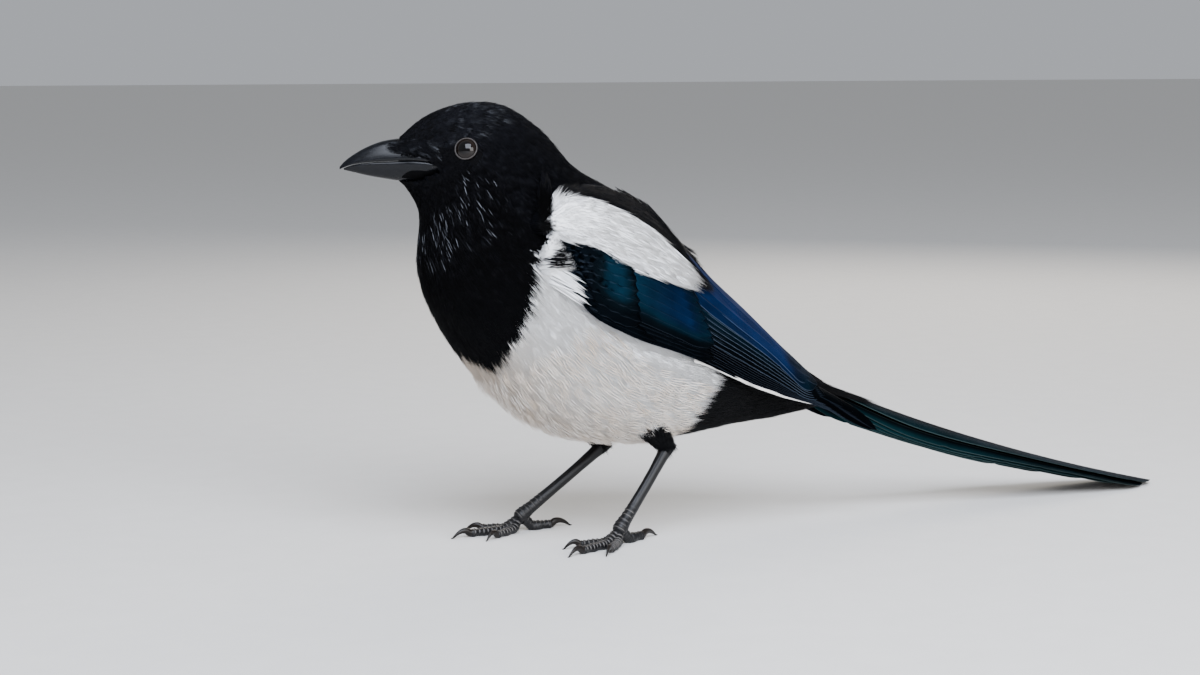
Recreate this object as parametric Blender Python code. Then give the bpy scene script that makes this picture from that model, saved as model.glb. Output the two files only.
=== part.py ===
"""Eurasian magpie standing on a level floor, life size.

The bird faces -X, its left side is at -Y and +Z is up. Sizes are millimetres and
become metres where each mesh is made. The whole body is one smooth loft parted by
thin plane cuts. Wings and tail are sheets in space, and each feather is a vane laid
on its sheet in tiers.
"""

import math

import bmesh
import bpy
import numpy as np
from mathutils import Vector

MM = 0.001
GAP = 0.3

# Driving sizes of the bird
TAIL_LENGTH = 222.0
TAIL_ROOT = (94.0, 71.0)
TAIL_ROOT_SLOPE = 23.6
TAIL_TIP_SLOPE = 12.6
EYE_PLACE = (-63.8, 175.4)
EYE_RADIUS = 5.3
EYE_DEPTH = 3.5
HEAD_TURN = 15.0
TURN_AXIS_X = -35.0
NECK_FOOT = np.array((-40.0, 122.0))
NECK_TOP = np.array((-50.0, 158.0))
BODY_SIDES = 24
BODY_RINGS = 40
VANE_THICKNESS = 0.52
LAYER = 0.84

# Body sections from bill to tail: back x, z, front x, z, half width, height of the widest part
BODY = (
    (-91.0, 180.4, -91.8, 160.4, 5.4, 0.46),  # bill base
    (-81.0, 188.4, -88.2, 156.8, 7.8, 0.47),  # forehead
    (-71.5, 192.8, -85.6, 152.6, 9.8, 0.49),  # lores and chin
    (-59.5, 195.4, -83.2, 147.5, 14.0, 0.50),  # eyes
    (-44.5, 193.6, -83.0, 140.0, 18.6, 0.50),  # hind crown
    (-28.0, 182.4, -84.6, 130.5, 22.4, 0.50),  # nape
    (-13.5, 166.0, -85.4, 119.5, 28.0, 0.48),  # neck
    (3.4, 156.6, -80.4, 104.5, 36.0, 0.47),  # shoulders
    (20.6, 146.0, -67.8, 84.0, 42.0, 0.47),  # breast
    (37.8, 129.8, -49.0, 62.5, 44.5, 0.48),  # fore belly
    (52.0, 114.0, -24.0, 46.5, 43.0, 0.48),  # belly
    (64.0, 101.5, 10.0, 41.0, 37.5, 0.50),  # thighs
    (76.0, 90.5, 41.0, 42.5, 28.5, 0.52),  # vent
    (88.0, 80.5, 64.0, 45.5, 20.0, 0.54),  # undertail
    (101.0, 72.0, 86.0, 47.0, 14.0, 0.56),  # tail coverts
    (119.0, 60.0, 111.0, 51.0, 6.0, 0.58),  # ends of the coverts
)

# Wing sheet from bend to tip: lower edge x, z, upper edge x, z, then y low, middle and up
WING = (
    (-37.5, 128.0, -37.0, 147.5, 28.0, 28.0, 24.0),
    (-24.5, 106.5, -15.0, 155.0, 30.0, 30.0, 16.0),
    (-3.0, 94.0, 10.0, 150.0, 30.0, 30.0, 11.0),
    (19.0, 86.0, 33.0, 132.0, 34.0, 30.0, 7.0),
    (42.0, 78.0, 54.0, 112.0, 35.0, 29.0, 5.0),
    (64.0, 69.0, 73.0, 95.0, 31.0, 26.0, 5.0),
    (85.0, 61.0, 92.0, 76.5, 25.0, 22.0, 7.0),
    (106.0, 52.5, 111.0, 61.0, 21.0, 19.5, 14.0),
    (131.0, 38.5, 134.0, 45.0, 18.5, 18.5, 17.0),
)
SHEET_LIFT = -2.0

# Flight feathers from the lowest: place across the wing, root, tip, half width
FLIGHT = (
    (0.055, 0.36, 0.965, 3.2),
    (0.110, 0.36, 0.990, 3.5),
    (0.165, 0.36, 1.000, 3.6),
    (0.220, 0.37, 0.985, 3.6),
    (0.275, 0.37, 0.960, 3.6),
    (0.330, 0.38, 0.930, 3.6),
    (0.400, 0.39, 0.900, 4.0),
    (0.485, 0.40, 0.880, 4.3),
    (0.575, 0.40, 0.860, 4.6),
    (0.670, 0.41, 0.840, 4.8),
    (0.770, 0.42, 0.815, 4.8),
    (0.870, 0.42, 0.785, 4.6),
)
GREATER_COVERTS = (
    (0.060, 0.17, 0.47, 3.2),
    (0.120, 0.17, 0.46, 3.2),
    (0.180, 0.17, 0.45, 3.2),
    (0.240, 0.17, 0.44, 3.2),
    (0.300, 0.18, 0.44, 3.2),
    (0.355, 0.19, 0.44, 3.0),
)
MEDIAN_COVERTS = (
    (0.110, 0.04, 0.215, 3.2),
    (0.170, 0.04, 0.225, 3.2),
    (0.230, 0.04, 0.230, 3.2),
    (0.290, 0.04, 0.230, 3.2),
    (0.350, 0.05, 0.225, 3.0),
)
SCAPULARS = (
    (0.510, 0.10, 0.33, 2.5),
    (0.560, 0.12, 0.40, 2.7),
    (0.610, 0.14, 0.435, 2.7),
    (0.660, 0.14, 0.43, 2.7),
    (0.710, 0.12, 0.40, 2.7),
    (0.760, 0.10, 0.35, 2.5),
)

COLOURS = {
    "black": ((0.012, 0.012, 0.015), 0.55),
    "white": ((0.78, 0.77, 0.74), 0.8),
    "blue": ((0.010, 0.035, 0.075), 0.35),
    "tail": ((0.008, 0.018, 0.020), 0.35),
    "horn": ((0.018, 0.018, 0.020), 0.35),
    "leg": ((0.022, 0.021, 0.022), 0.6),
    "lid": ((0.050, 0.046, 0.044), 0.6),
    "eye": ((0.010, 0.008, 0.008), 0.05),
}


def through(rows, t):
    """The value at t, from 0 to 1, of the smooth curve through the rows."""
    rows = np.asarray(rows, float)
    last = len(rows) - 1
    place = min(max(t, 0.0), 1.0) * last
    i = min(int(place), last - 1)
    f = place - i
    near, far = rows[i], rows[i + 1]
    before = rows[i - 1] if i > 0 else 2 * near - far
    after = rows[i + 2] if i + 2 <= last else 2 * far - near
    bend = 2 * before - 5 * near + 4 * far - after
    twist = 3 * near - before - 3 * far + after
    return 0.5 * (2 * near + (far - before) * f + bend * f**2 + twist * f**3)


def ease(t):
    """A smooth step from 0 at 0 to 1 at 1."""
    t = min(max(t, 0.0), 1.0)
    return t * t * (3 - 2 * t)


def posed(point):
    """The point after the head has turned to its right, more and more up the neck."""
    x, y, z = point
    axis = NECK_TOP - NECK_FOOT
    up_the_neck = ((x, z) - NECK_FOOT) @ axis / (axis @ axis)
    angle = -math.radians(HEAD_TURN) * ease(up_the_neck)
    dx = x - TURN_AXIS_X
    turned_x = TURN_AXIS_X + dx * math.cos(angle) - y * math.sin(angle)
    return Vector((turned_x, dx * math.sin(angle) + y * math.cos(angle), z))


def build_mesh(name, points, faces):
    """One closed mesh object from points in millimetres, its faces pointing out."""
    mesh = bpy.data.meshes.new(name)
    mesh.from_pydata([posed(p) * MM for p in points], [], faces)
    bm = bmesh.new()
    bm.from_mesh(mesh)
    bmesh.ops.recalc_face_normals(bm, faces=bm.faces)
    if bm.calc_volume(signed=True) < 0:
        bmesh.ops.reverse_faces(bm, faces=bm.faces)
    bm.to_mesh(mesh)
    bm.free()
    obj = bpy.data.objects.new(name, mesh)
    bpy.context.scene.collection.objects.link(obj)
    return obj


def loft(name, rings):
    """A closed solid through rings of points, each end closed by a fan."""
    count = len(rings[0])
    points = [p for ring in rings for p in ring]
    faces = []
    for i in range(len(rings) - 1):
        for j in range(count):
            a = i * count + j
            b = i * count + (j + 1) % count
            faces += [(a, b, b + count), (a, b + count, a + count)]
    for first in (0, len(points) - count):
        ring = points[first : first + count]
        points.append(tuple(np.mean(np.array(ring, float), axis=0)))
        centre = len(points) - 1
        faces += [(first + j, first + (j + 1) % count, centre) for j in range(count)]
    return build_mesh(name, points, faces)


def sheet_solid(name, where, rows, columns, mirror=1):
    """A closed plate between two faces of a sheet. where(i, j, face) gives each point."""
    points, faces = [], []
    for i in range(rows):
        for j in range(columns):
            for face in (1, -1):
                x, y, z = where(i, j, face)
                points.append((x, y * mirror, z))

    def at(i, j, side):
        return (i * columns + j) * 2 + side

    def wall(a, b):
        faces.extend([(a, a + 1, b + 1), (a, b + 1, b)])

    for i in range(rows - 1):
        for j in range(columns - 1):
            for side in (0, 1):
                a, b = at(i, j, side), at(i, j + 1, side)
                c, d = at(i + 1, j, side), at(i + 1, j + 1, side)
                faces += [(a, b, d), (a, d, c)] if side == 0 else [(a, d, b), (a, c, d)]
        wall(at(i + 1, 0, 0), at(i, 0, 0))
        wall(at(i, columns - 1, 0), at(i + 1, columns - 1, 0))
    for j in range(columns - 1):
        wall(at(0, j, 0), at(0, j + 1, 0))
        wall(at(rows - 1, j + 1, 0), at(rows - 1, j, 0))
    return build_mesh(name, points, faces)


def replace_mesh(obj, bm):
    bm.to_mesh(obj.data)
    bm.free()
    obj.data.update()


def keep_largest(obj):
    """Keeps the largest closed surface, which drops a scrap and fills a sealed hollow."""
    bm = bmesh.new()
    bm.from_mesh(obj.data)
    left = set(bm.faces)
    islands = []
    while left:
        island, edge = set(), [left.pop()]
        while edge:
            face = edge.pop()
            island.add(face)
            near = {f for e in face.edges for f in e.link_faces} & left
            left -= near
            edge.extend(near)
        islands.append(island)

    def reach(island):
        points = np.array([v.co for f in island for v in f.verts])
        return np.prod(points.max(0) - points.min(0))

    islands.sort(key=reach, reverse=True)
    scraps = [f for island in islands[1:] for f in island]
    bmesh.ops.delete(bm, geom=scraps, context="FACES")
    replace_mesh(obj, bm)


def boolean(obj, pieces, operation):
    """Joins the pieces to obj, or cuts them from it, in one Boolean, and removes them."""
    group = bpy.data.collections.new("pieces")
    for piece in pieces:
        group.objects.link(piece)
    modifier = obj.modifiers.new("boolean", "BOOLEAN")
    modifier.operation = operation
    modifier.operand_type = "COLLECTION"
    modifier.collection = group
    modifier.solver = "MANIFOLD"
    bpy.context.view_layer.update()
    graph = bpy.context.evaluated_depsgraph_get()
    made = bpy.data.meshes.new_from_object(obj.evaluated_get(graph))
    obj.modifiers.clear()
    obj.data = made
    for piece in pieces:
        bpy.data.objects.remove(piece)
    bpy.data.collections.remove(group)
    keep_largest(obj)
    return obj


def fuse(name, pieces):
    """One node from pieces that overlap at their roots."""
    first, *rest = pieces
    first.name = name
    return boolean(first, rest, "UNION")


def cut(obj, pieces):
    return boolean(obj, pieces, "DIFFERENCE")


def keep_side(obj, point, normal):
    """Cuts obj by the plane through point and keeps what lies against the normal."""
    bm = bmesh.new()
    bm.from_mesh(obj.data)
    everything = list(bm.verts) + list(bm.edges) + list(bm.faces)
    at = Vector(point) * MM
    bmesh.ops.bisect_plane(bm, geom=everything, plane_co=at, plane_no=Vector(normal), clear_outer=True)
    rim = [e for e in bm.edges if e.is_boundary]
    filled = bmesh.ops.holes_fill(bm, edges=rim)["faces"]
    bmesh.ops.triangulate(bm, faces=filled)
    bmesh.ops.recalc_face_normals(bm, faces=bm.faces)
    replace_mesh(obj, bm)
    return obj


def copy_of(obj, name):
    double = bpy.data.objects.new(name, obj.data.copy())
    bpy.context.scene.collection.objects.link(double)
    return double


def part_by(obj, name, point, normal):
    """Parts obj by a thin cut. Obj keeps the side against the normal, a new node the other."""
    normal = Vector(normal).normalized()
    other = copy_of(obj, name)
    half = normal * GAP / 2
    keep_side(obj, Vector(point) - half, normal)
    keep_side(other, Vector(point) + half, -normal)
    return other


def body_ring(t, grow=0.0, sides=BODY_SIDES):
    """The points of the body's section at t, from bill to tail."""
    back_x, back_z, front_x, front_z, half_width, widest = through(BODY, t)
    back, front = np.array((back_x, back_z)), np.array((front_x, front_z))
    reach = (back - front) / np.linalg.norm(back - front) * grow
    back, front = back + reach, front - reach
    centre = front + (back - front) * widest
    ring = []
    for k in range(sides):
        angle = 2 * math.pi * k / sides
        arm = (back if math.cos(angle) > 0 else front) - centre
        x, z = centre + arm * abs(math.cos(angle))
        ring.append((x, -(half_width + grow) * math.sin(angle), z))
    return ring


SECTIONS = np.array([through(BODY, t) for t in np.linspace(0, 1, 240)])


def body_half_width(x, z):
    """Half the body's width at a point of its side view, or 0 outside it."""
    back, front = SECTIONS[:, 0:2], SECTIONS[:, 2:4]
    line = back - front
    off = np.array((x, z)) - front
    cross = line[:, 0] * off[:, 1] - line[:, 1] * off[:, 0]
    change = np.nonzero(np.sign(cross[:-1]) != np.sign(cross[1:]))[0]
    best = 0.0
    for i in change:
        share = (off[i] @ line[i]) / (line[i] @ line[i])
        widest = SECTIONS[i, 5]
        part = (share - widest) / (1 - widest if share > widest else widest)
        if abs(part) < 1:
            best = max(best, SECTIONS[i, 4] * math.sqrt(1 - part**2))
    return best


def body(name, grow=0.0, rings=BODY_RINGS):
    return loft(name, [body_ring(t, grow) for t in np.linspace(0, 1, rings)])


def wing_sheet(u, v):
    """The left wing's sheet. u runs from bend to tip, v from lower to upper edge."""
    low_x, low_z, up_x, up_z, y_low, y_mid, y_up = through(WING, u)
    x, z = low_x + (up_x - low_x) * v, low_z + (up_z - low_z) * v
    own = y_low * (1 - v) * (1 - 2 * v) + y_mid * 4 * v * (1 - v) + y_up * v * (2 * v - 1)
    draped = body_half_width(x, z) + SHEET_LIFT
    outer = 0.5 * (own + draped + math.hypot(own - draped, 3.0))
    return Vector((x, -outer, z))


def wing_point(u, v, lift):
    """The point lift millimetres out from the wing's sheet."""
    step = 0.01
    u0, v0 = min(max(u, step), 1 - step), min(max(v, step), 1 - step)
    along = wing_sheet(u0 + step, v0) - wing_sheet(u0 - step, v0)
    across = wing_sheet(u0, v0 + step) - wing_sheet(u0, v0 - step)
    normal = across.cross(along).normalized()
    if normal.y > 0:
        normal = -normal
    return wing_sheet(u, v) + normal * lift


def vane_outline(t, root_share, tip_share):
    """A feather's width along its length, as a share of its full width."""
    swell = root_share + (1 - root_share) * ease(t / 0.35)
    rounding = math.sqrt(max(0.0, 1 - (max(0.0, t - 0.86) / 0.14) ** 2))
    return swell * max(rounding, tip_share)


def sheet_width(u):
    low_x, low_z, up_x, up_z, *rest = through(WING, u)
    return math.hypot(up_x - low_x, up_z - low_z)


def tier(name, rows, lift, root_lift, stations, mirror, gather=0.0):
    """Shingled vanes on the wing's sheet, from the lowest to the uppermost.

    Each row gives a vane's place across the sheet, root, tip and half width. The depth
    taken off at a place is the same for every vane, so each lies a layer outside the
    one below it and none crosses another. Gather draws the tips together.
    """
    places = [row[0] for row in rows]
    per_layer = min(b - a for a, b in zip(places, places[1:]))
    made = []
    for k, (place, root, tip, half) in enumerate(rows):

        def where(i, j, face, place=place, root=root, tip=tip, half=half):
            t = stations[i]
            u = root + (tip - root) * t
            drawn = gather * ease((u - 0.6) / 0.4)
            middle = place + (0.5 - place) * 0.7 * drawn
            width = half * vane_outline(t, 0.6, 0.25) / sheet_width(u)
            v = max(-0.04, middle + (j - 1) * width)
            ridge = 0.2 if j == 1 and face > 0 else 0.0
            level = v * (1 - drawn) + 0.2 * drawn
            rise = root_lift + (lift - root_lift) * ease(t / 0.45)
            off = rise + LAYER * (place - level) / per_layer
            return wing_point(u, v, off + face * VANE_THICKNESS / 2 + ridge)

        made.append(sheet_solid(f"{name}_{k}", where, len(stations), 3, mirror))
    return made


def wing_plate(name, us, v_low, v_high, low, high, mirror, columns=6):
    """A plate on the wing's sheet between two heights, thinner towards its edges."""
    rows = len(us)

    def where(i, j, face):
        b = j / (columns - 1)
        v = v_low[i] + (v_high[i] - v_low[i]) * b
        along = 2 * i / (rows - 1) - 1
        full = (1 - along**6) * (1 - (2 * b - 1) ** 4)
        top = low + 0.6 + (high - low - 0.6) * math.sqrt(max(0.0, full))
        return wing_point(us[i], v, top if face > 0 else low)

    return sheet_solid(name, where, rows, columns, mirror)


def steady(value, count):
    return [value] * count


def wing_pieces(mirror):
    """The arm, flight feathers and coverts of one wing, before they are fused."""
    us = (0.0, 0.06, 0.13, 0.20, 0.28, 0.36, 0.44, 0.50)
    v_low = (0.20, 0.07, 0.02, 0.0, 0.0, 0.0, 0.0, 0.02)
    v_high = (0.66, 0.82, 0.86, 0.85, 0.84, 0.84, 0.87, 0.90)
    arm = wing_plate("arm", us, v_low, v_high, -0.6, 3.9, mirror, 6)
    long = (0.0, 0.3, 0.62, 0.88, 1.0)
    short = (0.0, 0.4, 0.75, 1.0)
    flight = tier("flight", FLIGHT, 1.8, 1.8, long, mirror, 1.0)
    greater = tier("greater", GREATER_COVERTS, 5.2, 2.4, short, mirror)
    median = tier("median", MEDIAN_COVERTS, 6.4, 2.2, short, mirror)
    return [arm, *flight, *greater, *median]


def wing_recess(mirror):
    """What the body gives way to under one wing."""
    rows, columns = 13, 6
    low = -0.6 - GAP - 0.8

    def where(i, j, face):
        u = i / (rows - 1)
        top = np.interp(u, (0.0, 0.12, 0.2, 0.4, 0.5, 1.0), (1.0, 1.0, 0.93, 0.93, 1.04, 1.04))
        v = -0.08 + (top + 0.08) * j / (columns - 1)
        point = wing_point(u, v, 14.0 if face > 0 else low)
        return point - Vector((1.2 if i == 0 else 0.0, 0, 0))

    return sheet_solid("recess", where, rows, columns, mirror)


def scapular_pieces(mirror):
    """The white shoulder feathers over the upper half of one wing."""
    us = (0.0, 0.05, 0.11, 0.18, 0.24, 0.30, 0.35)
    v_low = (0.68, 0.59, 0.54, 0.50, 0.47, 0.49, 0.54)
    v_high = (0.88, 0.95, 0.95, 0.88, 0.81, 0.76, 0.70)
    pad = wing_plate("pad", us, v_low, v_high, 4.6, 6.0, mirror, 5)
    vanes = tier("scapular", SCAPULARS, 7.2, 5.3, (0.0, 0.45, 0.8, 1.0), mirror)
    return [pad, *vanes]


def tail_ridge(t):
    """Place and slope of the tail's upper ridge at t, from root to tip."""
    steps = 24
    x, z = TAIL_ROOT
    for i in range(steps):
        share = t * (i + 0.5) / steps
        slope = math.radians(TAIL_ROOT_SLOPE + (TAIL_TIP_SLOPE - TAIL_ROOT_SLOPE) * share)
        x += TAIL_LENGTH * t / steps * math.cos(slope)
        z -= TAIL_LENGTH * t / steps * math.sin(slope)
    return x, z, math.radians(TAIL_ROOT_SLOPE + (TAIL_TIP_SLOPE - TAIL_ROOT_SLOPE) * t)


def tail_point(t, across, depth):
    """A point of the arched tail: across is measured round the arch, depth down into it."""
    x, z, slope = tail_ridge(t)
    radius = 16.0 + 54.0 * ease((t - 0.35) / 0.65)
    angle = across / radius
    drop = radius - (radius - depth) * math.cos(angle)
    side = (radius - depth) * math.sin(angle)
    return x - drop * math.sin(slope), side, z - drop * math.cos(slope)


def tail_feather(name, length, middle, half, layer, side):
    """One tail feather, its length a share of the tail's and its middle round the arch."""
    apart = layer > 1
    steps = [0.0, 0.22, 0.46, 0.7, 0.88, 0.96, 1.0]

    def where(i, j, face):
        t = steps[i]
        width = half * vane_outline(t, 0.4, 0.3)
        centre = middle * (0.5 + 0.5 * ease(t / 0.35)) * (1 - 0.3 * t)
        if apart:
            across = side * max(centre + side * (j - 1) * width, 0.2)
        else:
            across = side * centre + (j - 1) * width
        ridge = 0.3 if j == 1 and face > 0 else 0.0
        depth = 1.2 + layer * LAYER - face * VANE_THICKNESS / 2 - ridge
        return tail_point(t * length, across, depth)

    return sheet_solid(name, where, len(steps), 3)


def tail_covert(name, root, tip, middle, half, layer):
    """One covert laid over the root of the tail."""

    def where(i, j, face):
        t = (0.0, 0.5, 0.85, 1.0)[i]
        width = half * vane_outline(t, 0.6, 0.3)
        depth = layer * LAYER - face * VANE_THICKNESS / 2 + 3.0 * (1 - ease(t / 0.5))
        return tail_point(root + (tip - root) * t, middle + (j - 1) * width, depth)

    return sheet_solid(name, where, 4, 3)


def tail_pieces():
    """The graduated tail, from the middle pair on top to the short outer feathers."""
    lengths = (1.0, 0.965, 0.895, 0.80, 0.69, 0.57)
    middles = (2.0, 9.0, 11.0, 12.5, 13.8, 15.0)
    halves = (10.5, 10.0, 9.6, 9.2, 8.8, 8.2)
    made = []
    for pair in range(6):
        for side in (-1, 1):
            layer = 0 if side < 0 and pair == 0 else pair + 1
            name = f"rectrix_{pair}_{side}"
            made.append(tail_feather(name, lengths[pair], middles[pair], halves[pair], layer, side))
    for k, (tip, middle) in enumerate(((0.22, -6.5), (0.235, 6.5), (0.285, 0.0))):
        made.append(tail_covert(f"covert_{k}", 0.02, tip, middle, 6.0, 0.2 - k))
    return made


def tube(name, path, radii, sides, level_start=False):
    """A closed tube of changing radius along a path of points."""
    path = [Vector(p) for p in path]
    rings = []
    for i, centre in enumerate(path):
        ahead = path[min(i + 1, len(path) - 1)] - path[max(i - 1, 0)]
        if i == 0 and level_start:
            ahead.z = 0.0
        side = ahead.cross(Vector((0, 0, 1)))
        if side.length < 1e-6:
            side = Vector((0, 1, 0))
        side.normalize()
        rise = side.cross(ahead).normalized()
        ring = []
        for k in range(sides):
            angle = 2 * math.pi * k / sides
            arm = side * math.cos(angle) + rise * math.sin(angle)
            ring.append(tuple(centre + arm * radii[i]))
        rings.append(ring)
    return loft(name, rings)


def heading(degrees):
    """A direction on the floor, turned from straight ahead towards the bird's left."""
    return Vector((-math.cos(math.radians(degrees)), -math.sin(math.radians(degrees)), 0))


TOES = (("hind", 180.0, 15.0, 2.3, 11.0), ("inner", 26.0, 18.0, 2.0, 8.5),
        ("middle", 0.0, 26.0, 2.1, 9.5), ("outer", -27.0, 19.5, 1.9, 8.0))
FEET = {
    "left": {"heel": (25.0, -18.0, 40.0), "base": (-3.0, -29.0, 7.5), "turn": 26.0, "out": -1},
    "right": {"heel": (8.0, 15.0, 37.0), "base": (-32.0, 16.0, 7.5), "turn": 6.0, "out": 1},
}
# Shank from heel to foot, share of its length and radius, with scutes at its lower end
TARSUS = (
    (0.0, 3.4),
    (0.1, 2.7),
    (0.3, 2.3),
    (0.6, 2.25),
    (0.72, 2.45),
    (0.73, 2.75),
    (0.81, 2.45),
    (0.82, 2.9),
    (0.90, 2.6),
    (0.91, 3.1),
    (1.05, 3.1),
)
KNEES = {"left": (4.0, -24.0, 66.0), "right": (-8.0, 22.0, 64.0)}


def toe_path(base, direction, length):
    """Points from the ball of the foot down to the floor and along it, and the bends."""
    points = []
    steps = 9
    for i in range(steps):
        t = i / (steps - 1)
        z = 1.75 + (base.z - 3.2) * (1 - ease(t / 0.45)) ** 1.2
        points.append(Vector((base.x, base.y, 0)) + direction * (length * t) + Vector((0, 0, z)))
    return points


def claw(name, start, direction, length, radius):
    """A claw that curves down to a point just clear of the floor."""
    steps = 6
    path, radii = [], []
    for i in range(steps):
        t = i / (steps - 1)
        rise = 1.7 * math.sin(math.pi * min(1.0, t * 1.1)) * ease(t / 0.3) - 1.7 * t**2
        path.append(start + direction * (length * t) + Vector((0, 0, rise)))
        radii.append(radius * (1 - t) ** 0.8 + 0.22)
    return tube(name, path, radii, 7, True)


def leg(side):
    """Thigh, tarsus, foot and claws of one leg."""
    size = FEET[side]
    heel, base = Vector(size["heel"]), Vector(size["base"])
    knee = Vector(KNEES[side])
    down = (base - heel).normalized()
    thigh_path = [knee + (heel - knee) * t for t in (0, 0.3, 0.6, 0.85, 1.0)]
    thigh = tube(f"{side}_thigh", thigh_path, (14.0, 11.5, 8.6, 6.2, 4.2), 14)
    cut(thigh, [body("clear", GAP + 0.1)])
    keep_side(thigh, heel + down * 0.5, down)
    start = heel + down * (0.5 + GAP)
    end = base - down * 3.0
    path, radii = [], []
    for t, radius in TARSUS:
        path.append(start + (end - start) * t)
        radii.append(radius)
    tarsus = tube(f"{side}_tarsus", path, radii, 10)
    keep_side(tarsus, end, down)
    ball = [end + down * t for t in (-1.5, 1.2, 3.6, 6.0)]
    ankle = tube("ball", ball, (3.1, 3.6, 3.9, 2.4), 10)
    keep_side(ankle, end + down * GAP, -down)
    pieces = [ankle]
    claws = []
    for toe, angle, length, radius, claw_length in TOES:
        turn = size["turn"] + (angle if size["out"] < 0 else -angle)
        direction = heading(turn)
        points = toe_path(base, direction, length)
        widths = []
        joints = max(2, round(length / 7))
        for i in range(len(points)):
            t = i / (len(points) - 1)
            swell = 1 + 0.10 * math.cos(2 * math.pi * joints * t)
            widths.append(radius * (1.05 - 0.25 * t) * swell)
        pieces.append(tube(toe, points, widths, 7))
        tip = points[-1] + direction * (GAP + 0.05)
        nail = claw(f"{side}_{toe}_claw", tip, direction, claw_length, radius * 0.62)
        claws.append(keep_side(nail, (0, 0, 0), (0, 0, -1)))
    foot = fuse(f"{side}_foot", pieces)
    keep_side(foot, (0, 0, 0), (0, 0, -1))
    return thigh, tarsus, foot, claws


# Upper bill from gape to tip: x, edge z, ridge z, half width
UPPER_BILL = (
    (-70.0, 166.6, 171.5, 10.4),
    (-77.0, 169.0, 175.5, 9.9),
    (-84.0, 169.9, 178.0, 8.3),
    (-91.0, 169.9, 179.0, 6.6),
    (-98.0, 169.6, 178.2, 5.4),
    (-105.0, 169.2, 175.7, 4.1),
    (-111.0, 168.3, 172.4, 2.8),
    (-115.0, 167.0, 169.4, 1.6),
    (-117.2, 166.0, 167.0, 0.6),
)
# Lower bill: x, edge z, keel z, half width
LOWER_BILL = (
    (-70.0, 166.2, 162.4, 9.8),
    (-77.0, 168.6, 160.8, 9.4),
    (-84.0, 169.5, 160.2, 7.9),
    (-91.0, 169.5, 160.7, 6.1),
    (-98.0, 169.2, 161.8, 4.9),
    (-105.0, 168.8, 163.1, 3.7),
    (-111.0, 167.9, 164.6, 2.4),
    (-115.4, 166.4, 165.7, 0.8),
)


def bill_half(name, stations, grow=0.0, rings=12, sides=9):
    """One half of the bill, an arch over its cutting edge or below it."""
    made = []
    for i in range(rings):
        x, edge, outer, half = through(stations, i / (rings - 1))
        x += grow * (1 - 2 * i / (rings - 1))
        away = 1 if outer > edge else -1
        base = edge - away * grow
        ring = []
        for k in range(sides):
            angle = math.pi * k / (sides - 1)
            rise = math.sin(angle) ** 0.85
            y = (half + 2 * grow) * math.cos(angle) * (1 - 0.12 * math.sin(2 * angle) ** 2)
            ring.append((x, y, base + (outer + away * grow - base) * rise))
        made.append(ring)
    return loft(name, made)


def eye_frame(side):
    """The eye's centre and its own outward, forward and upward directions."""
    x, z = EYE_PLACE
    step = 3.0
    y = body_half_width(x, z)
    slope_x = (body_half_width(x + step, z) - body_half_width(x - step, z)) / (2 * step)
    slope_z = (body_half_width(x, z + step) - body_half_width(x, z - step)) / (2 * step)
    out = Vector((-slope_x, 1.0, -slope_z)).normalized()
    ahead = Vector((-1, 0, 0))
    ahead = (ahead - out * ahead.dot(out)).normalized()
    rise = ahead.cross(out)
    if rise.z < 0:
        rise = -rise
    centre = Vector((x, y, z)) - out * EYE_DEPTH
    if side < 0:
        return centre, out, ahead, rise
    mirror = [Vector((v.x, -v.y, v.z)) for v in (centre, out, ahead, rise)]
    return mirror


def eye(name, side):
    """One eyeball. Side is 1 for the bird's left eye."""
    centre, out, ahead, rise = eye_frame(side)
    radius = EYE_RADIUS
    rings = []
    for i in range(1, 8):
        polar = math.pi * i / 8
        ring = []
        for k in range(14):
            angle = 2 * math.pi * k / 14
            spoke = ahead * math.cos(angle) + rise * math.sin(angle)
            ring.append(centre + spoke * radius * math.sin(polar) + out * radius * math.cos(polar))
        rings.append(ring)
    return loft(name, rings)


def socket(side):
    """The cup in the head that holds the eye and its lid ring."""
    centre, out, ahead, rise = eye_frame(side)
    rings = []
    for radius, level in ((2.6, -5.6), (4.9, -3.4), (5.95, 0.2), (6.0, 7.0)):
        ring = []
        for k in range(14):
            angle = 2 * math.pi * k / 14
            spoke = ahead * math.cos(angle) * 1.02 + rise * math.sin(angle)
            ring.append(centre + spoke * radius + out * level)
        rings.append(ring)
    return loft("socket", rings)


def eyelid(name, side):
    """The raised ring of bare lid round the eye."""
    centre, out, ahead, rise = eye_frame(side)
    around, section = 18, 5
    points, faces = [], []
    for k in range(around):
        angle = 2 * math.pi * k / around
        spoke = ahead * math.cos(angle) * 1.02 + rise * math.sin(angle)
        for m in range(section):
            turn = 2 * math.pi * m / section
            reach = 4.95 + 0.55 * math.cos(turn)
            level = 3.95 + 0.55 * math.sin(turn)
            points.append(centre + spoke * reach + out * level)
    for k in range(around):
        for m in range(section):
            a, b = k * section + m, k * section + (m + 1) % section
            c = (k + 1) % around * section + m
            d = (k + 1) % around * section + (m + 1) % section
            faces += [(a, b, d), (a, d, c)]
    return build_mesh(name, points, faces)


# Bristle tufts over the nostril: root x, height at the root and tip, length, width
BRISTLES = (
    (-76.0, 171.7, 171.4, 24.0, 1.3),
    (-79.0, 173.3, 172.7, 24.0, 1.4),
    (-83.0, 174.9, 174.0, 22.0, 1.4),
    (-86.0, 176.4, 175.2, 17.5, 1.3),
)


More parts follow.
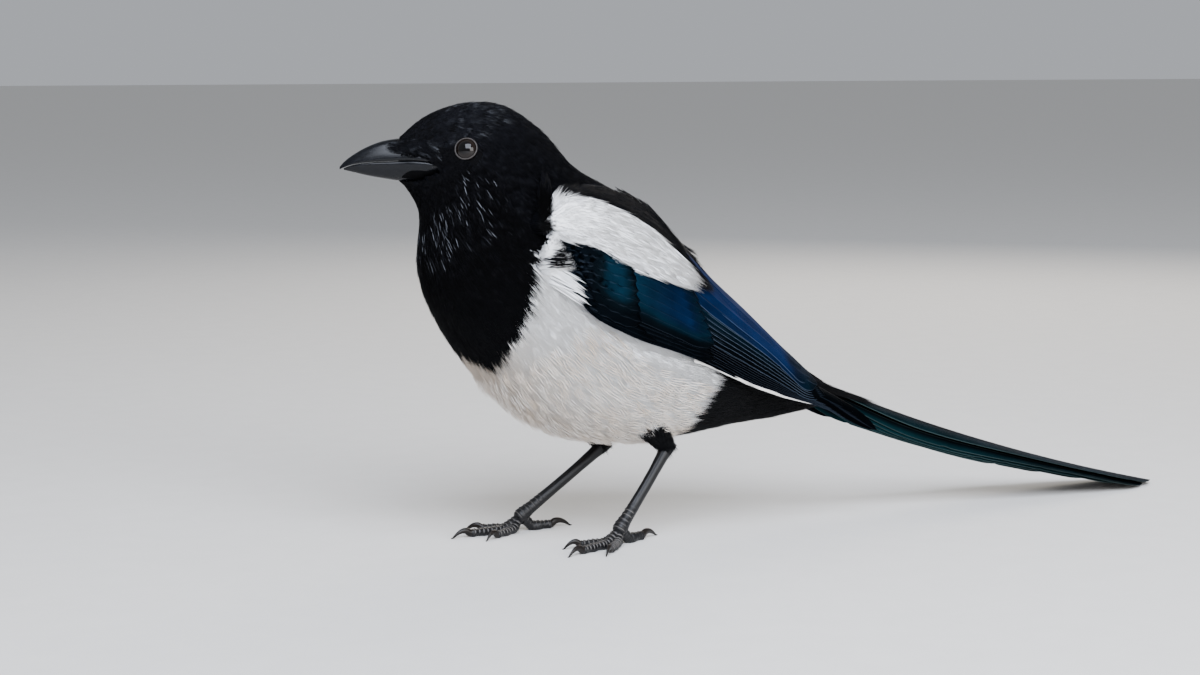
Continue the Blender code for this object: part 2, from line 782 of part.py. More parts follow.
def bill_side(x, z):
    """Half the upper bill's width at a point of its side view."""
    stations = np.array(UPPER_BILL)
    edge = np.interp(-x, -stations[:, 0], stations[:, 1])
    outer = np.interp(-x, -stations[:, 0], stations[:, 2])
    half = np.interp(-x, -stations[:, 0], stations[:, 3])
    share = min(max((z - edge) / (outer - edge), 0.0), 0.999) ** (1 / 0.85)
    return half * math.sqrt(1 - share**2)


def bristles(side):
    """Stiff forward tufts that hide the nostril on one side of the bill."""
    made = []
    for k, (x_root, z_root, z_tip, length, width) in enumerate(BRISTLES):

        def where(i, j, face, k=k, row=(x_root, z_root, z_tip, length, width)):
            x_root, z_root, z_tip, length, width = row
            t = i / 3
            x = x_root - length * t
            z = z_root + (z_tip - z_root) * t + (j - 0.5) * width * (1 - 0.8 * t**2)
            clear = 0.6 + 0.2 * k + (0.0 if face < 0 else 0.55)
            return x, bill_side(x, z) + clear, z

        made.append(sheet_solid(f"bristles_{k}", where, 4, 2, side))
    return made


def finish(obj, colour):
    rgb, roughness = COLOURS[colour]
    material = bpy.data.materials.get(colour) or bpy.data.materials.new(colour)
    material.use_nodes = True
    shader = material.node_tree.nodes["Principled BSDF"]
    shader.inputs["Base Color"].default_value = (*rgb, 1.0)
    shader.inputs["Roughness"].default_value = roughness
    obj.data.materials.clear()
    obj.data.materials.append(material)
    obj.data.shade_smooth()
    obj.data.set_sharp_from_angle(angle=math.radians(40))


def centre_on_floor():
    """Puts the middle of the whole box over the origin."""
    parts = [obj for obj in bpy.data.objects if obj.type == "MESH"]
    points = [v.co for obj in parts for v in obj.data.vertices]
    low_x, high_x = min(p.x for p in points), max(p.x for p in points)
    low_y, high_y = min(p.y for p in points), max(p.y for p in points)
    shift = Vector((-(low_x + high_x) / 2, -(low_y + high_y) / 2, 0))
    for obj in parts:
        for v in obj.data.vertices:
            v.co += shift
    return shift


def main():
    for obj in list(bpy.data.objects):
        bpy.data.objects.remove(obj)
    head = body("head")
    neck = part_by(head, "neck", (-55.0, 0, 160.0), (0.62, 0, -0.78))
    breast = part_by(neck, "breast", (-44.0, 0, 139.0), (0.5, 0, -0.86))
    belly = part_by(breast, "belly", (-63.0, 0, 81.0), (0.937, 0, -0.35))
    rump = part_by(belly, "rump", (45.0, 0, 60.0), (1, 0, 0.10))
    back = part_by(belly, "back", (10.0, 0, 119.0), (0.52, 0, 0.85))
    tail_base = part_by(rump, "tail_base", (90.0, 0, 62.0), (0.87, 0, -0.35))
    tail = fuse("tail", [tail_base, *tail_pieces()])
    keep_side(tail, (0, 0, 0), (0, 0, -1))
    for piece in (neck, breast, belly, rump, back):
        cut(piece, [wing_recess(1), wing_recess(-1)])
    for side, mirror in (("left", 1), ("right", -1)):
        wing = fuse(f"{side}_wing", wing_pieces(mirror))
        shoulder = fuse(f"{side}_scapulars", scapular_pieces(mirror))
        finish(wing, "blue")
        finish(shoulder, "white")
        cut(head, [socket(mirror)])
        finish(eye(f"{side}_eye", mirror), "eye")
        finish(eyelid(f"{side}_eyelid", mirror), "lid")
    around = 1.5 * GAP
    cut(head, [bill_half("clear", UPPER_BILL, around), bill_half("clear", LOWER_BILL, around)])
    head = fuse("head", [head, *bristles(1), *bristles(-1)])
    finish(bill_half("upper_bill", UPPER_BILL), "horn")
    finish(bill_half("lower_bill", LOWER_BILL), "horn")
    finish(tail, "tail")
    for piece in (head, neck, breast, back, rump):
        finish(piece, "black")
    finish(belly, "white")
    for side in FEET:
        thigh, tarsus, foot, claws = leg(side)
        finish(thigh, "black")
        finish(tarsus, "leg")
        finish(foot, "leg")
        for piece in claws:
            finish(piece, "horn")
    return centre_on_floor()


SHIFT = main()
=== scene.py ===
"""A Eurasian magpie, life size, with its skin, feathers, bill, eyes and feet.

Shapes are worked out in millimetres, with the head still straight ahead, and to_row()
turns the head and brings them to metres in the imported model's frame.
"""

import math

import bpy
import numpy as np
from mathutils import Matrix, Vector
from mathutils.kdtree import KDTree


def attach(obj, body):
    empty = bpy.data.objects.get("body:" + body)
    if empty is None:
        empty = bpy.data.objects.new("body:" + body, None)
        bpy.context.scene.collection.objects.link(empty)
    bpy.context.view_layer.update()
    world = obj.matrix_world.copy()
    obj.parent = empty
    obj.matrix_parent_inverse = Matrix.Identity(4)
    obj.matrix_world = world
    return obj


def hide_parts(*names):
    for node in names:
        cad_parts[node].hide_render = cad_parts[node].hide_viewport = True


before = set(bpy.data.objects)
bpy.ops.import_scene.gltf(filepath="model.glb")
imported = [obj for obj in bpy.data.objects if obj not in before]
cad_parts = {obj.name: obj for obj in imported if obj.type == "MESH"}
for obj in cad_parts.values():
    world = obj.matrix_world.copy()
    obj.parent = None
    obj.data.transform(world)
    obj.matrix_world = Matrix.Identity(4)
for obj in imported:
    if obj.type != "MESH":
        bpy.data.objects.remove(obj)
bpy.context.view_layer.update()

SHIFT = np.array((-0.094997048, 0.000511747, 0.0))

# Sizes shared with the solids
TAIL_LENGTH = 222.0
TAIL_ROOT = (94.0, 71.0)
TAIL_ROOT_SLOPE = 23.6
TAIL_TIP_SLOPE = 12.6
EYE_PLACE = (-63.8, 175.4)
EYE_RADIUS = 5.3
EYE_DEPTH = 3.5
HEAD_TURN = 15.0
TURN_AXIS_X = -35.0
NECK_FOOT = np.array((-40.0, 122.0))
NECK_TOP = np.array((-50.0, 158.0))

# Body sections from bill to tail: back x, z, front x, z, half width, height of the widest part
BODY = (
    (-91.0, 180.4, -91.8, 160.4, 5.4, 0.46),
    (-81.0, 188.4, -88.2, 156.8, 7.8, 0.47),
    (-71.5, 192.8, -85.6, 152.6, 9.8, 0.49),
    (-59.5, 195.4, -83.2, 147.5, 14.0, 0.50),
    (-44.5, 193.6, -83.0, 140.0, 18.6, 0.50),
    (-28.0, 182.4, -84.6, 130.5, 22.4, 0.50),
    (-13.5, 166.0, -85.4, 119.5, 28.0, 0.48),
    (3.4, 156.6, -80.4, 104.5, 36.0, 0.47),
    (20.6, 146.0, -67.8, 84.0, 42.0, 0.47),
    (37.8, 129.8, -49.0, 62.5, 44.5, 0.48),
    (52.0, 114.0, -24.0, 46.5, 43.0, 0.48),
    (64.0, 101.5, 10.0, 41.0, 37.5, 0.50),
    (76.0, 90.5, 41.0, 42.5, 28.5, 0.52),
    (88.0, 80.5, 64.0, 45.5, 20.0, 0.54),
    (101.0, 72.0, 86.0, 47.0, 14.0, 0.56),
    (119.0, 60.0, 111.0, 51.0, 6.0, 0.58),
)

# Wing sheet from bend to tip: lower edge x, z, upper edge x, z, then y low, middle and up
WING = (
    (-37.5, 128.0, -37.0, 147.5, 28.0, 28.0, 24.0),
    (-24.5, 106.5, -15.0, 155.0, 30.0, 30.0, 16.0),
    (-3.0, 94.0, 10.0, 150.0, 30.0, 30.0, 11.0),
    (19.0, 86.0, 33.0, 132.0, 34.0, 30.0, 7.0),
    (42.0, 78.0, 54.0, 112.0, 35.0, 29.0, 5.0),
    (64.0, 69.0, 73.0, 95.0, 31.0, 26.0, 5.0),
    (85.0, 61.0, 92.0, 76.5, 25.0, 22.0, 7.0),
    (106.0, 52.5, 111.0, 61.0, 21.0, 19.5, 14.0),
    (131.0, 38.5, 134.0, 45.0, 18.5, 18.5, 17.0),
)
SHEET_LIFT = -2.0


def through(rows, t):
    """Values at t, from 0 to 1, of the smooth curve through the rows. t may be an array."""
    rows = np.asarray(rows, float)
    last = len(rows) - 1
    place = np.clip(np.asarray(t, float), 0, 1) * last
    i = np.minimum(place.astype(int), last - 1)
    f = (place - i)[..., None]
    near, far = rows[i], rows[i + 1]
    before = np.where((i > 0)[..., None], rows[np.maximum(i - 1, 0)], 2 * near - far)
    after = np.where((i + 2 <= last)[..., None], rows[np.minimum(i + 2, last)], 2 * far - near)
    bend = 2 * before - 5 * near + 4 * far - after
    twist = 3 * near - before - 3 * far + after
    return 0.5 * (2 * near + (far - before) * f + bend * f**2 + twist * f**3)


def ease(t):
    """A smooth step from 0 at 0 to 1 at 1."""
    t = np.clip(t, 0.0, 1.0)
    return t * t * (3 - 2 * t)


def unit(v):
    return v / np.maximum(np.linalg.norm(v, axis=-1, keepdims=True), 1e-9)


def posed(points):
    """The points after the head has turned to its right, more and more up the neck."""
    points = np.asarray(points, float)
    x, y, z = points[..., 0], points[..., 1], points[..., 2]
    axis = NECK_TOP - NECK_FOOT
    share = ((x - NECK_FOOT[0]) * axis[0] + (z - NECK_FOOT[1]) * axis[1]) / (axis @ axis)
    angle = -np.radians(HEAD_TURN) * ease(share)
    dx = x - TURN_AXIS_X
    turned = TURN_AXIS_X + dx * np.cos(angle) - y * np.sin(angle)
    return np.stack([turned, dx * np.sin(angle) + y * np.cos(angle), z], -1)


def to_row(points):
    """Millimetres with the head straight ahead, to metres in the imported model's frame."""
    return posed(points) * 0.001 + SHIFT


SECTIONS = through(BODY, np.linspace(0, 1, 240))


def body_point(t, angle, depth=0.0):
    """Points of the body at t from bill to tail and angle from the back, depth inside it."""
    t, angle, depth = np.broadcast_arrays(t, angle, depth)
    rows = through(BODY, t)
    back, front = rows[..., 0:2], rows[..., 2:4]
    reach = unit(back - front) * -depth[..., None]
    back, front = back + reach, front - reach
    centre = front + (back - front) * rows[..., 5:6]
    c, s = np.cos(angle), np.sin(angle)
    arm = np.where((c > 0)[..., None], back, front) - centre
    xz = centre + arm * np.abs(c)[..., None]
    return np.stack([xz[..., 0], -(rows[..., 4] - depth) * s, xz[..., 1]], -1)


def body_outward(t, angle):
    """The way outwards at places on the body, in the row frame."""
    step = 0.002
    here = to_row(body_point(t, angle))
    t_low, t_high = np.maximum(t - step, 0), np.minimum(t + step, 1)
    along = unit(to_row(body_point(t_high, angle)) - to_row(body_point(t_low, angle)))
    around = to_row(body_point(t, angle + 0.02)) - to_row(body_point(t, angle - 0.02))
    out = unit(np.cross(around, along))
    left = to_row(body_point(t, np.full_like(angle, 0.5 * math.pi)))
    right = to_row(body_point(t, np.full_like(angle, 1.5 * math.pi)))
    flip = np.sign(np.sum(out * (here - (left + right) / 2), -1, keepdims=True))
    return out * np.where(flip == 0, 1, flip)


def body_half_width(x, z):
    """Half the body's width at points of its side view, or 0 outside it."""
    x, z = np.broadcast_arrays(x, z)
    off_x = x[..., None] - SECTIONS[:, 2]
    off_z = z[..., None] - SECTIONS[:, 3]
    line_x, line_z = SECTIONS[:, 0] - SECTIONS[:, 2], SECTIONS[:, 1] - SECTIONS[:, 3]
    cross = line_x * off_z - line_z * off_x
    change = np.zeros(cross.shape, bool)
    change[..., :-1] = np.sign(cross[..., :-1]) != np.sign(cross[..., 1:])
    share = (off_x * line_x + off_z * line_z) / (line_x**2 + line_z**2)
    widest = SECTIONS[:, 5]
    part = (share - widest) / np.where(share > widest, 1 - widest, widest)
    inside = change & (np.abs(part) < 1)
    width = np.where(inside, SECTIONS[:, 4] * np.sqrt(np.maximum(0, 1 - part**2)), 0)
    return width.max(-1)


def sheet_at(u, v):
    """The left wing's sheet. u runs from bend to tip, v from lower to upper edge."""
    rows = through(WING, u)
    low_x, low_z, up_x, up_z, y_low, y_mid, y_up = np.moveaxis(rows, -1, 0)
    x, z = low_x + (up_x - low_x) * v, low_z + (up_z - low_z) * v
    own = y_low * (1 - v) * (1 - 2 * v) + y_mid * 4 * v * (1 - v) + y_up * v * (2 * v - 1)
    draped = body_half_width(x, z) + SHEET_LIFT
    outer = 0.5 * (own + draped + np.hypot(own - draped, 3.0))
    return np.stack([x, -outer, z], -1)


# The wing's sheet and its outward directions on a fine grid, read by wing_point()
GRID_U, GRID_V = np.linspace(0, 1, 141), np.linspace(-0.12, 1.12, 89)
SHEET = sheet_at(*np.meshgrid(GRID_U, GRID_V, indexing="ij"))
SHEET_OUT = unit(np.cross(np.gradient(SHEET, axis=1), np.gradient(SHEET, axis=0)))
SHEET_OUT *= -np.sign(SHEET_OUT[..., 1:2])


def on_grid(grid, u, v):
    """The grid's value at u and v, between its points."""
    a = np.clip(u, 0, 1) * (len(GRID_U) - 1)
    b = (np.clip(v, -0.12, 1.12) + 0.12) / 1.24 * (len(GRID_V) - 1)
    i = np.minimum(a.astype(int), len(GRID_U) - 2)
    j = np.minimum(b.astype(int), len(GRID_V) - 2)
    f, g = (a - i)[..., None], (b - j)[..., None]
    low = grid[i, j] * (1 - g) + grid[i, j + 1] * g
    high = grid[i + 1, j] * (1 - g) + grid[i + 1, j + 1] * g
    return low * (1 - f) + high * f


def wing_point(u, v, lift, mirror=1):
    """Points lift millimetres out from the wing's sheet. Mirror is -1 for the right wing."""
    u, v, lift = np.broadcast_arrays(np.asarray(u, float), v, lift)
    made = on_grid(SHEET, u, v) + unit(on_grid(SHEET_OUT, u, v)) * lift[..., None]
    return made * (1, mirror, 1)


def wing_outward(u, v, lift, mirror=1):
    """The way outwards at places on the wing, in the row frame."""
    here = to_row(wing_point(u, v, lift, mirror))
    return unit(to_row(wing_point(u, v, lift + 1.0, mirror)) - here)


def sheet_width(u):
    """How broad the wing's sheet is at u, in mm."""
    rows = through(WING, u)
    return np.hypot(rows[..., 2] - rows[..., 0], rows[..., 3] - rows[..., 1])


# ---- Materials


def linear(code):
    """A colour for a socket from its sRGB hex code."""
    values = [int(code[i : i + 2], 16) / 255 for i in (1, 3, 5)]
    return (*[v / 12.92 if v <= 0.04045 else ((v + 0.055) / 1.055) ** 2.4 for v in values], 1.0)


def add(tree, kind, inputs=None, stops=None, **settings):
    """Adds one node. Each input is a value or another node's output."""
    made = tree.nodes.new(kind)
    for key, value in settings.items():
        setattr(made, key, value)
    for key, value in (inputs or {}).items():
        if isinstance(value, bpy.types.NodeSocket):
            tree.links.new(value, made.inputs[key])
        else:
            made.inputs[key].default_value = value
    if stops:
        elements = made.color_ramp.elements
        while len(elements) < len(stops):
            elements.new(0.5)
        for element, (place, code) in zip(elements, stops):
            element.position = place
            element.color = linear(code)
    return made


def new_material(name):
    """An empty material and its tree."""
    material = bpy.data.materials.new(name)
    material.use_nodes = True
    material.node_tree.nodes.clear()
    return material, material.node_tree


def surface(material, inputs):
    """Ends a material with one principled shader."""
    shader = add(material.node_tree, "ShaderNodeBsdfPrincipled", inputs)
    add(material.node_tree, "ShaderNodeOutputMaterial", {"Surface": shader.outputs[0]})
    return material


def maths(tree, operation, first, second=0.0):
    return add(tree, "ShaderNodeMath", {0: first, 1: second}, operation=operation).outputs[0]


def ramp(tree, value, stops):
    """A colour for a value, by stops of place and hex code."""
    return add(tree, "ShaderNodeValToRGB", {0: value}, stops=stops).outputs[0]


def carried_value(tree, name):
    """A value that the mesh carries at its points."""
    return add(tree, "ShaderNodeAttribute", attribute_name=name).outputs["Fac"]


def own_place(tree):
    """Metres in the part's own space."""
    return add(tree, "ShaderNodeTexCoord").outputs["Object"]


def clouds(tree, place, scale, detail=2.0):
    """Cloudy noise from 0 to 1, scale in clouds a metre."""
    inputs = {"Vector": place, "Scale": scale, "Detail": detail}
    return add(tree, "ShaderNodeTexNoise", inputs).outputs["Fac"]


def relief(tree, height, strength, distance, **settings):
    """A bumped normal. The distance is in metres."""
    inputs = {"Height": height, "Strength": strength, "Distance": distance}
    return add(tree, "ShaderNodeBump", inputs, **settings).outputs[0]


def vane_place(tree, axis):
    """Where a point lies on its feather: axis 0 is along it and axis 1 across it."""
    place = add(tree, "ShaderNodeUVMap", uv_map="vane")
    return add(tree, "ShaderNodeSeparateXYZ", {0: place.outputs[0]}).outputs[axis]


def barbs(tree, pitch, slant, strength, distance):
    """Bump of a feather's barbs, which leave the shaft at a slant, pitch in vane lengths."""
    side = maths(tree, "ABSOLUTE", maths(tree, "SUBTRACT", vane_place(tree, 1), 0.5))
    phase = maths(tree, "SUBTRACT", vane_place(tree, 0), maths(tree, "MULTIPLY", side, slant))
    wave = maths(tree, "SINE", maths(tree, "MULTIPLY", phase, 2 * math.pi / pitch))
    return relief(tree, wave, strength, distance)


def black_plumage():
    """Black body feathers: melanin takes nearly all light, with a trace of cool sheen."""
    material, tree = new_material("black_body_plumage")
    # Higher tones paint light into the black: sheen on nape and back, highlights on the throat's glossy
    # tips
    stops = [(0.0, "#020203"), (0.3, "#07070a"), (0.6, "#121318"), (1.0, "#62656b")]
    return surface(material, {
        "Base Color": ramp(tree, carried_value(tree, "tone"), stops),
        "Roughness": 0.55,
        "Specular IOR Level": 0.07,
        "Sheen Weight": 0.01,
        "Sheen Roughness": 0.4,
        "Sheen Tint": linear("#8f9bb4"),
    })


def white_plumage():
    """White body feathers: clear keratin full of air, so bright and matt."""
    material, tree = new_material("white_body_plumage")
    # The lowest tones paint shade into the white: darker and warmer under the belly
    stops = [(0.0, "#d3bfa9"), (0.3, "#ece5dd"), (0.6, "#f4f4f4"), (1.0, "#f8f9fb")]
    return surface(material, {
        "Base Color": ramp(tree, carried_value(tree, "tone"), stops),
        "Roughness": 0.85,
        "Specular IOR Level": 0.2,
        "Sheen Weight": 0.2,
        "Sheen Roughness": 0.5,
    })


def skin_finish():
    """The down next to the skin, black or white as the feathers over it."""
    material, tree = new_material("skin_down")
    # Tufts of down about 2 mm apart
    tufts = clouds(tree, own_place(tree), 500.0, 4.0)
    stops = [(0.42, "#050506"), (0.58, "#dedad5")]
    return surface(material, {
        "Base Color": ramp(tree, carried_value(tree, "mark"), stops),
        "Roughness": 0.9,
        "Specular IOR Level": 0.05,
        "Normal": relief(tree, tufts, 0.5, 0.0006),
    })


def glossy_vane(name, stops, edge, roughness, metallic, pitch):
    """A flight feather's close-knit vane, with its gloss and a painted highlight along its rim and
    shaft.
    """
    material, tree = new_material(name)
    base = ramp(tree, carried_value(tree, "tint"), stops)
    # Across the vane from 0 to 1: painted highlights where the rim and the shaft catch the light
    rim_highlights = ramp(tree, vane_place(tree, 1), [
        (0.0, "#ffffff"), (0.035, "#404040"), (0.07, "#000000"), (0.47, "#000000"),
        (0.495, "#9a9a9a"), (0.52, "#000000"), (1.0, "#000000"),
    ])
    # Clouds of stronger and weaker gloss, about 11 mm apart
    cloud = clouds(tree, own_place(tree), 90.0, 3.0)
    shade = add(tree, "ShaderNodeMapRange", {0: cloud, 1: 0.3, 2: 0.7, 3: 0.72, 4: 1.2}).outputs[0]
    varied = add(tree, "ShaderNodeVectorMath", {0: base, "Scale": shade}, operation="SCALE")
    # The rim value sets how strongly the painted highlight in the edge colour shows
    shown = maths(tree, "MULTIPLY", rim_highlights, carried_value(tree, "rim"))
    mixed = {0: shown, 6: varied.outputs[0], 7: linear(edge)}
    return surface(material, {
        "Base Color": add(tree, "ShaderNodeMix", mixed, data_type="RGBA").outputs[2],
        "Roughness": roughness,
        "Metallic": metallic,
        "Specular IOR Level": 0.06,
        "Specular Tint": linear("#6f86a8"),
        "Normal": barbs(tree, pitch, 0.22, 0.14, 0.0002),
    })


def horn(name, low, high, roughness, streak):
    """Black horn, polished by use, with growth streaks along it."""
    material, tree = new_material(name)
    # Streaks about 1 mm apart across the horn and six times as long
    slanted = {
        "Vector": own_place(tree),
        "Scale": (150.0, streak, streak),
        "Rotation": (0, 0.1, 0.26),
    }
    growth = clouds(tree, add(tree, "ShaderNodeMapping", slanted).outputs[0], 1.0, 4.0)
    polish = {0: growth, 3: roughness - 0.08, 4: roughness + 0.12}
    return surface(material, {
        "Base Color": ramp(tree, growth, [(0.3, low), (0.75, high)]),
        "Roughness": add(tree, "ShaderNodeMapRange", polish).outputs[0],
        "IOR": 1.33,
        "Normal": relief(tree, growth, 0.05, 0.0002),
    })


def leg_skin():
    """Horny black scales of shank and toes, dusty grey in their creases."""
    material, tree = new_material("leg_scale_skin")
    # Fine grain of the scales, 0.5 mm
    grain = clouds(tree, own_place(tree), 2000.0, 3.0)
    stops = [(0.0, "#0b0b0d"), (0.5, "#141416"), (1.0, "#66625e")]
    return surface(material, {
        "Base Color": ramp(tree, carried_value(tree, "crease"), stops),
        "Roughness": 0.42,
        "Specular IOR Level": 0.3,
        "Normal": relief(tree, grain, 0.25, 0.0002),
    })


def lid_skin():
    """The thin bare rim of the eyelids, dark grey-brown and finely pimpled."""
    material, tree = new_material("eyelid_skin")
    # Pimples about 0.4 mm apart
    inputs = {"Vector": own_place(tree), "Scale": 2600.0}
    pimples = add(tree, "ShaderNodeTexVoronoi", inputs).outputs["Distance"]
    return surface(material, {
        "Base Color": ramp(tree, pimples, [(0.0, "#453f3c"), (0.8, "#211e1c")]),
        "Roughness": 0.5,
        "Normal": relief(tree, pimples, 0.4, 0.0001, invert=True),
    })


def wet_eye():
    """A dark brown iris under a wet, clear cornea."""
    material, tree = new_material("wet_dark_eye")
    # From the middle of the eye outwards: pupil, iris, and a dark rim
    stops = [(0.0, "#020202"), (0.17, "#030202"), (0.2, "#120a06"),
             (0.29, "#100905"), (0.33, "#080605"), (1.0, "#0c0a09")]
    colour = ramp(tree, vane_place(tree, 0), stops)
    return surface(material, {"Base Color": colour, "Roughness": 0.03, "IOR": 1.38})


def pale_floor():
    """Matt pale studio paper."""
    material, tree = new_material("pale_paper")
    stops = [(0.0, "#d6d4d0"), (1.0, "#dddbd7")]
    colour = ramp(tree, clouds(tree, own_place(tree), 60.0), stops)
    return surface(material, {"Base Color": colour, "Roughness": 0.9})


BLACK = black_plumage()
WHITE = white_plumage()
SKIN = skin_finish()
# Wing gloss from green-black by the primaries' coverts to teal and deep blue
WING_GLOSS = glossy_vane("wing_vane", [
    (0.0, "#020203"), (0.25, "#040a0e"), (0.45, "#071b27"), (0.7, "#06172c"), (1.0, "#0a2a52"),
], "#5f6d80", 0.42, 0.7, 0.006)
TAIL_GLOSS = glossy_vane("tail_vane", [
    (0.0, "#030405"), (0.4, "#05080a"), (0.7, "#081a1e"), (1.0, "#0f2f34"),
], "#3b4b4b", 0.4, 0.7, 0.004)
WHITE_VANE = glossy_vane("white_vane", [(0.0, "#dcd9d4"), (1.0, "#efedea")], "#ffffff", 0.6, 0.0, 0.006)
BILL_HORN = horn("bill_horn", "#050609", "#0c0e13", 0.22, 900.0)
CLAW_HORN = horn("claw_horn", "#0b0908", "#1c1613", 0.3, 1500.0)
LEG_SKIN = leg_skin()
LID_SKIN = lid_skin()
WET_EYE = wet_eye()


# ---- Meshes


def add_values(mesh, values):
    """Stores one number for each point under each name."""
    for key, value in values.items():
        layer = mesh.attributes.new(key, "FLOAT", "POINT")
        layer.data.foreach_set("value", np.asarray(value, float))


def point_of_corner(mesh):
    corners = np.empty(len(mesh.loops), int)
    mesh.loops.foreach_get("vertex_index", corners)
    return corners


def linked(name, mesh):
    """A new object in the scene that shows the mesh."""
    obj = bpy.data.objects.new(name, mesh)
    bpy.context.scene.collection.objects.link(obj)
    return obj


def piece(name, points, faces, material, slot, uvs=None, values=None):
    """A mesh piece in the row frame. Uvs and values hold one row for each point."""
    mesh = bpy.data.meshes.new(name)
    mesh.from_pydata(np.asarray(points), [], faces)
    corners = point_of_corner(mesh)
    for key, uv in (uvs or {}).items():
        layer = mesh.uv_layers.new(name=key)
        layer.data.foreach_set("uv", np.asarray(uv, float)[corners].ravel())
    add_values(mesh, values or {})
    mesh.polygons.foreach_set("use_smooth", np.full(len(mesh.polygons), True))
    mesh.materials.append(material)
    obj = linked(name, mesh)
    if slot:
        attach(obj, "root")
    return obj


def join_shells(shells):
    """Points, faces and point values of many closed shells in one. A shell inside out is turned."""
    points, faces, values = [], [], {}
    count = 0
    for shell_points, shell_faces, shell_values in shells:
        at = np.asarray(shell_points)
        quads = np.asarray(shell_faces)
        first = at[quads[:, 0]]
        volume = 0.0
        for k in range(1, quads.shape[1] - 1):
            volume += np.sum(first * np.cross(at[quads[:, k]], at[quads[:, k + 1]]))
        if volume < 0:
            quads = quads[:, ::-1]
        points.append(at)
        faces.append(quads + count)
        count += len(at)
        for key, value in shell_values.items():
            values.setdefault(key, []).append(value)
    return (
        np.concatenate(points),
        [tuple(face) for block in faces for face in block.tolist()],
        {key: np.concatenate(value) for key, value in values.items()},
    )


def sheet_shell(top, bottom, values):
    """A closed shell between two grids of points. Values are grids of what both faces carry."""
    rows, columns = top.shape[:2]
    at = np.arange(rows * columns).reshape(rows, columns)
    low = at + rows * columns

    def quads(a, b, c, d):
        return np.stack([a, b, c, d], -1).reshape(-1, 4)

    faces = [
        quads(at[:-1, :-1], at[:-1, 1:], at[1:, 1:], at[1:, :-1]),
        quads(low[:-1, :-1], low[1:, :-1], low[1:, 1:], low[:-1, 1:]),
        quads(at[:-1, 0], at[1:, 0], low[1:, 0], low[:-1, 0]),
        quads(at[:-1, -1], low[:-1, -1], low[1:, -1], at[1:, -1]),
        quads(at[0, :-1], low[0, :-1], low[0, 1:], at[0, 1:]),
        quads(at[-1, :-1], at[-1, 1:], low[-1, 1:], low[-1, :-1]),
    ]
    points = np.concatenate([top.reshape(-1, 3), bottom.reshape(-1, 3)])
    carried = {
        key: np.concatenate([np.broadcast_to(v, (rows, columns)).ravel()] * 2)
        for key, v in values.items()
    }
    return points, np.concatenate(faces), carried


def tube_shell(rings, values):
    """A closed shell through rings of points, each end closed by a fan."""
    count, sides = rings.shape[:2]
    at = np.arange(count * sides).reshape(count, sides)
    nxt = np.roll(at, -1, 1)
    walls = np.stack([at[:-1], nxt[:-1], nxt[1:], at[1:]], -1).reshape(-1, 4)
    half = sides // 2
    first, last = np.full(half, count * sides), np.full(half, count * sides + 1)
    second = np.arange(2, sides + 2, 2) % sides
    fans = [
        np.stack([at[0, ::2], first, at[0, second], at[0, 1::2]], -1),
        np.stack([at[-1, ::2], at[-1, 1::2], at[-1, second], last], -1),
    ]
    points = np.concatenate([rings.reshape(-1, 3), rings[:1].mean(1), rings[-1:].mean(1)])
    carried = {}
    for key, v in values.items():
        grid = np.broadcast_to(v, (count, sides)).ravel()
        carried[key] = np.concatenate([grid, np.ravel(v)[:1], np.ravel(v)[-1:]])
    return points, np.concatenate([walls, *fans]), carried


def shell_piece(name, shells, material, slot, *nodes):
    """A piece made of closed shells, in place of the named nodes."""
    points, faces, values = join_shells(shells)
    made = piece(name, points, faces, material, slot, None, values)
    if nodes:
        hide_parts(*nodes)
    return made


# ---- Markings and the lie of the coat

# Where the black bib ends: angle from the back in degrees, share of the way from bill to tail
BIB_END = ((0, 2.0), (58, 2.0), (66, 0.47), (81, 0.454), (93, 0.467), (109.5, 0.503),
           (127.5, 0.530), (145.5, 0.551), (157, 0.557), (170, 0.543), (180, 0.534))
# Where the white belly ends behind
VENT_START = ((0, 0.0), (58, 0.0), (66, 0.728), (82.5, 0.743), (105, 0.753), (130.5, 0.767),
              (180, 0.777))


def table(rows, at):
    """Values at places between the rows of a table of places and values."""
    return np.interp(at, *zip(*rows))


def degrees_from_back(angle):
    """0 on the back and 180 under the belly, on both sides."""
    return np.degrees(np.arccos(np.clip(np.cos(angle), -1, 1)))


def whiteness(t, angle):
    """1 where the body's feathers are white and 0 where they are black."""
    folded = degrees_from_back(angle)
    return ((t > table(BIB_END, folded)) & (t < table(VENT_START, folded))).astype(float)


def bill_half_width(x, z, rows):
    """Half a bill half's width at a point of its side view, 0 outside it."""
    rows = np.asarray(rows)
    inside = (x < rows[0, 0]) & (x > rows[-1, 0])
    edge = np.interp(-x, -rows[:, 0], rows[:, 1])
    outer = np.interp(-x, -rows[:, 0], rows[:, 2])
    half = np.interp(-x, -rows[:, 0], rows[:, 3])
    share = (z - edge) / (outer - edge)
    inside &= (share >= -0.05) & (share < 0.999)
    share = np.clip(share, 0, 0.999) ** (1 / 0.85)
    return np.where(inside, half * np.sqrt(1 - share**2), 0.0)


# Upper bill from gape to tip: x, edge z, ridge z, half width, and the lower bill likewise
UPPER_BILL = (
    (-70.0, 166.6, 171.5, 10.4),
    (-77.0, 169.0, 175.5, 9.9),
    (-84.0, 169.9, 178.0, 8.3),
    (-91.0, 169.9, 179.0, 6.6),
    (-98.0, 169.6, 178.2, 5.4),
    (-105.0, 169.2, 175.7, 4.1),
    (-111.0, 168.3, 172.4, 2.8),
    (-115.0, 167.0, 169.4, 1.6),
    (-117.2, 166.0, 167.0, 0.6),
)
LOWER_BILL = (
    (-70.0, 166.2, 162.4, 9.8),
    (-77.0, 168.6, 160.8, 9.4),
    (-84.0, 169.5, 160.2, 7.9),
    (-91.0, 169.5, 160.7, 6.1),
    (-98.0, 169.2, 161.8, 4.9),
    (-105.0, 168.8, 163.1, 3.7),
    (-111.0, 167.9, 164.6, 2.4),
    (-115.4, 166.4, 165.7, 0.8),
)
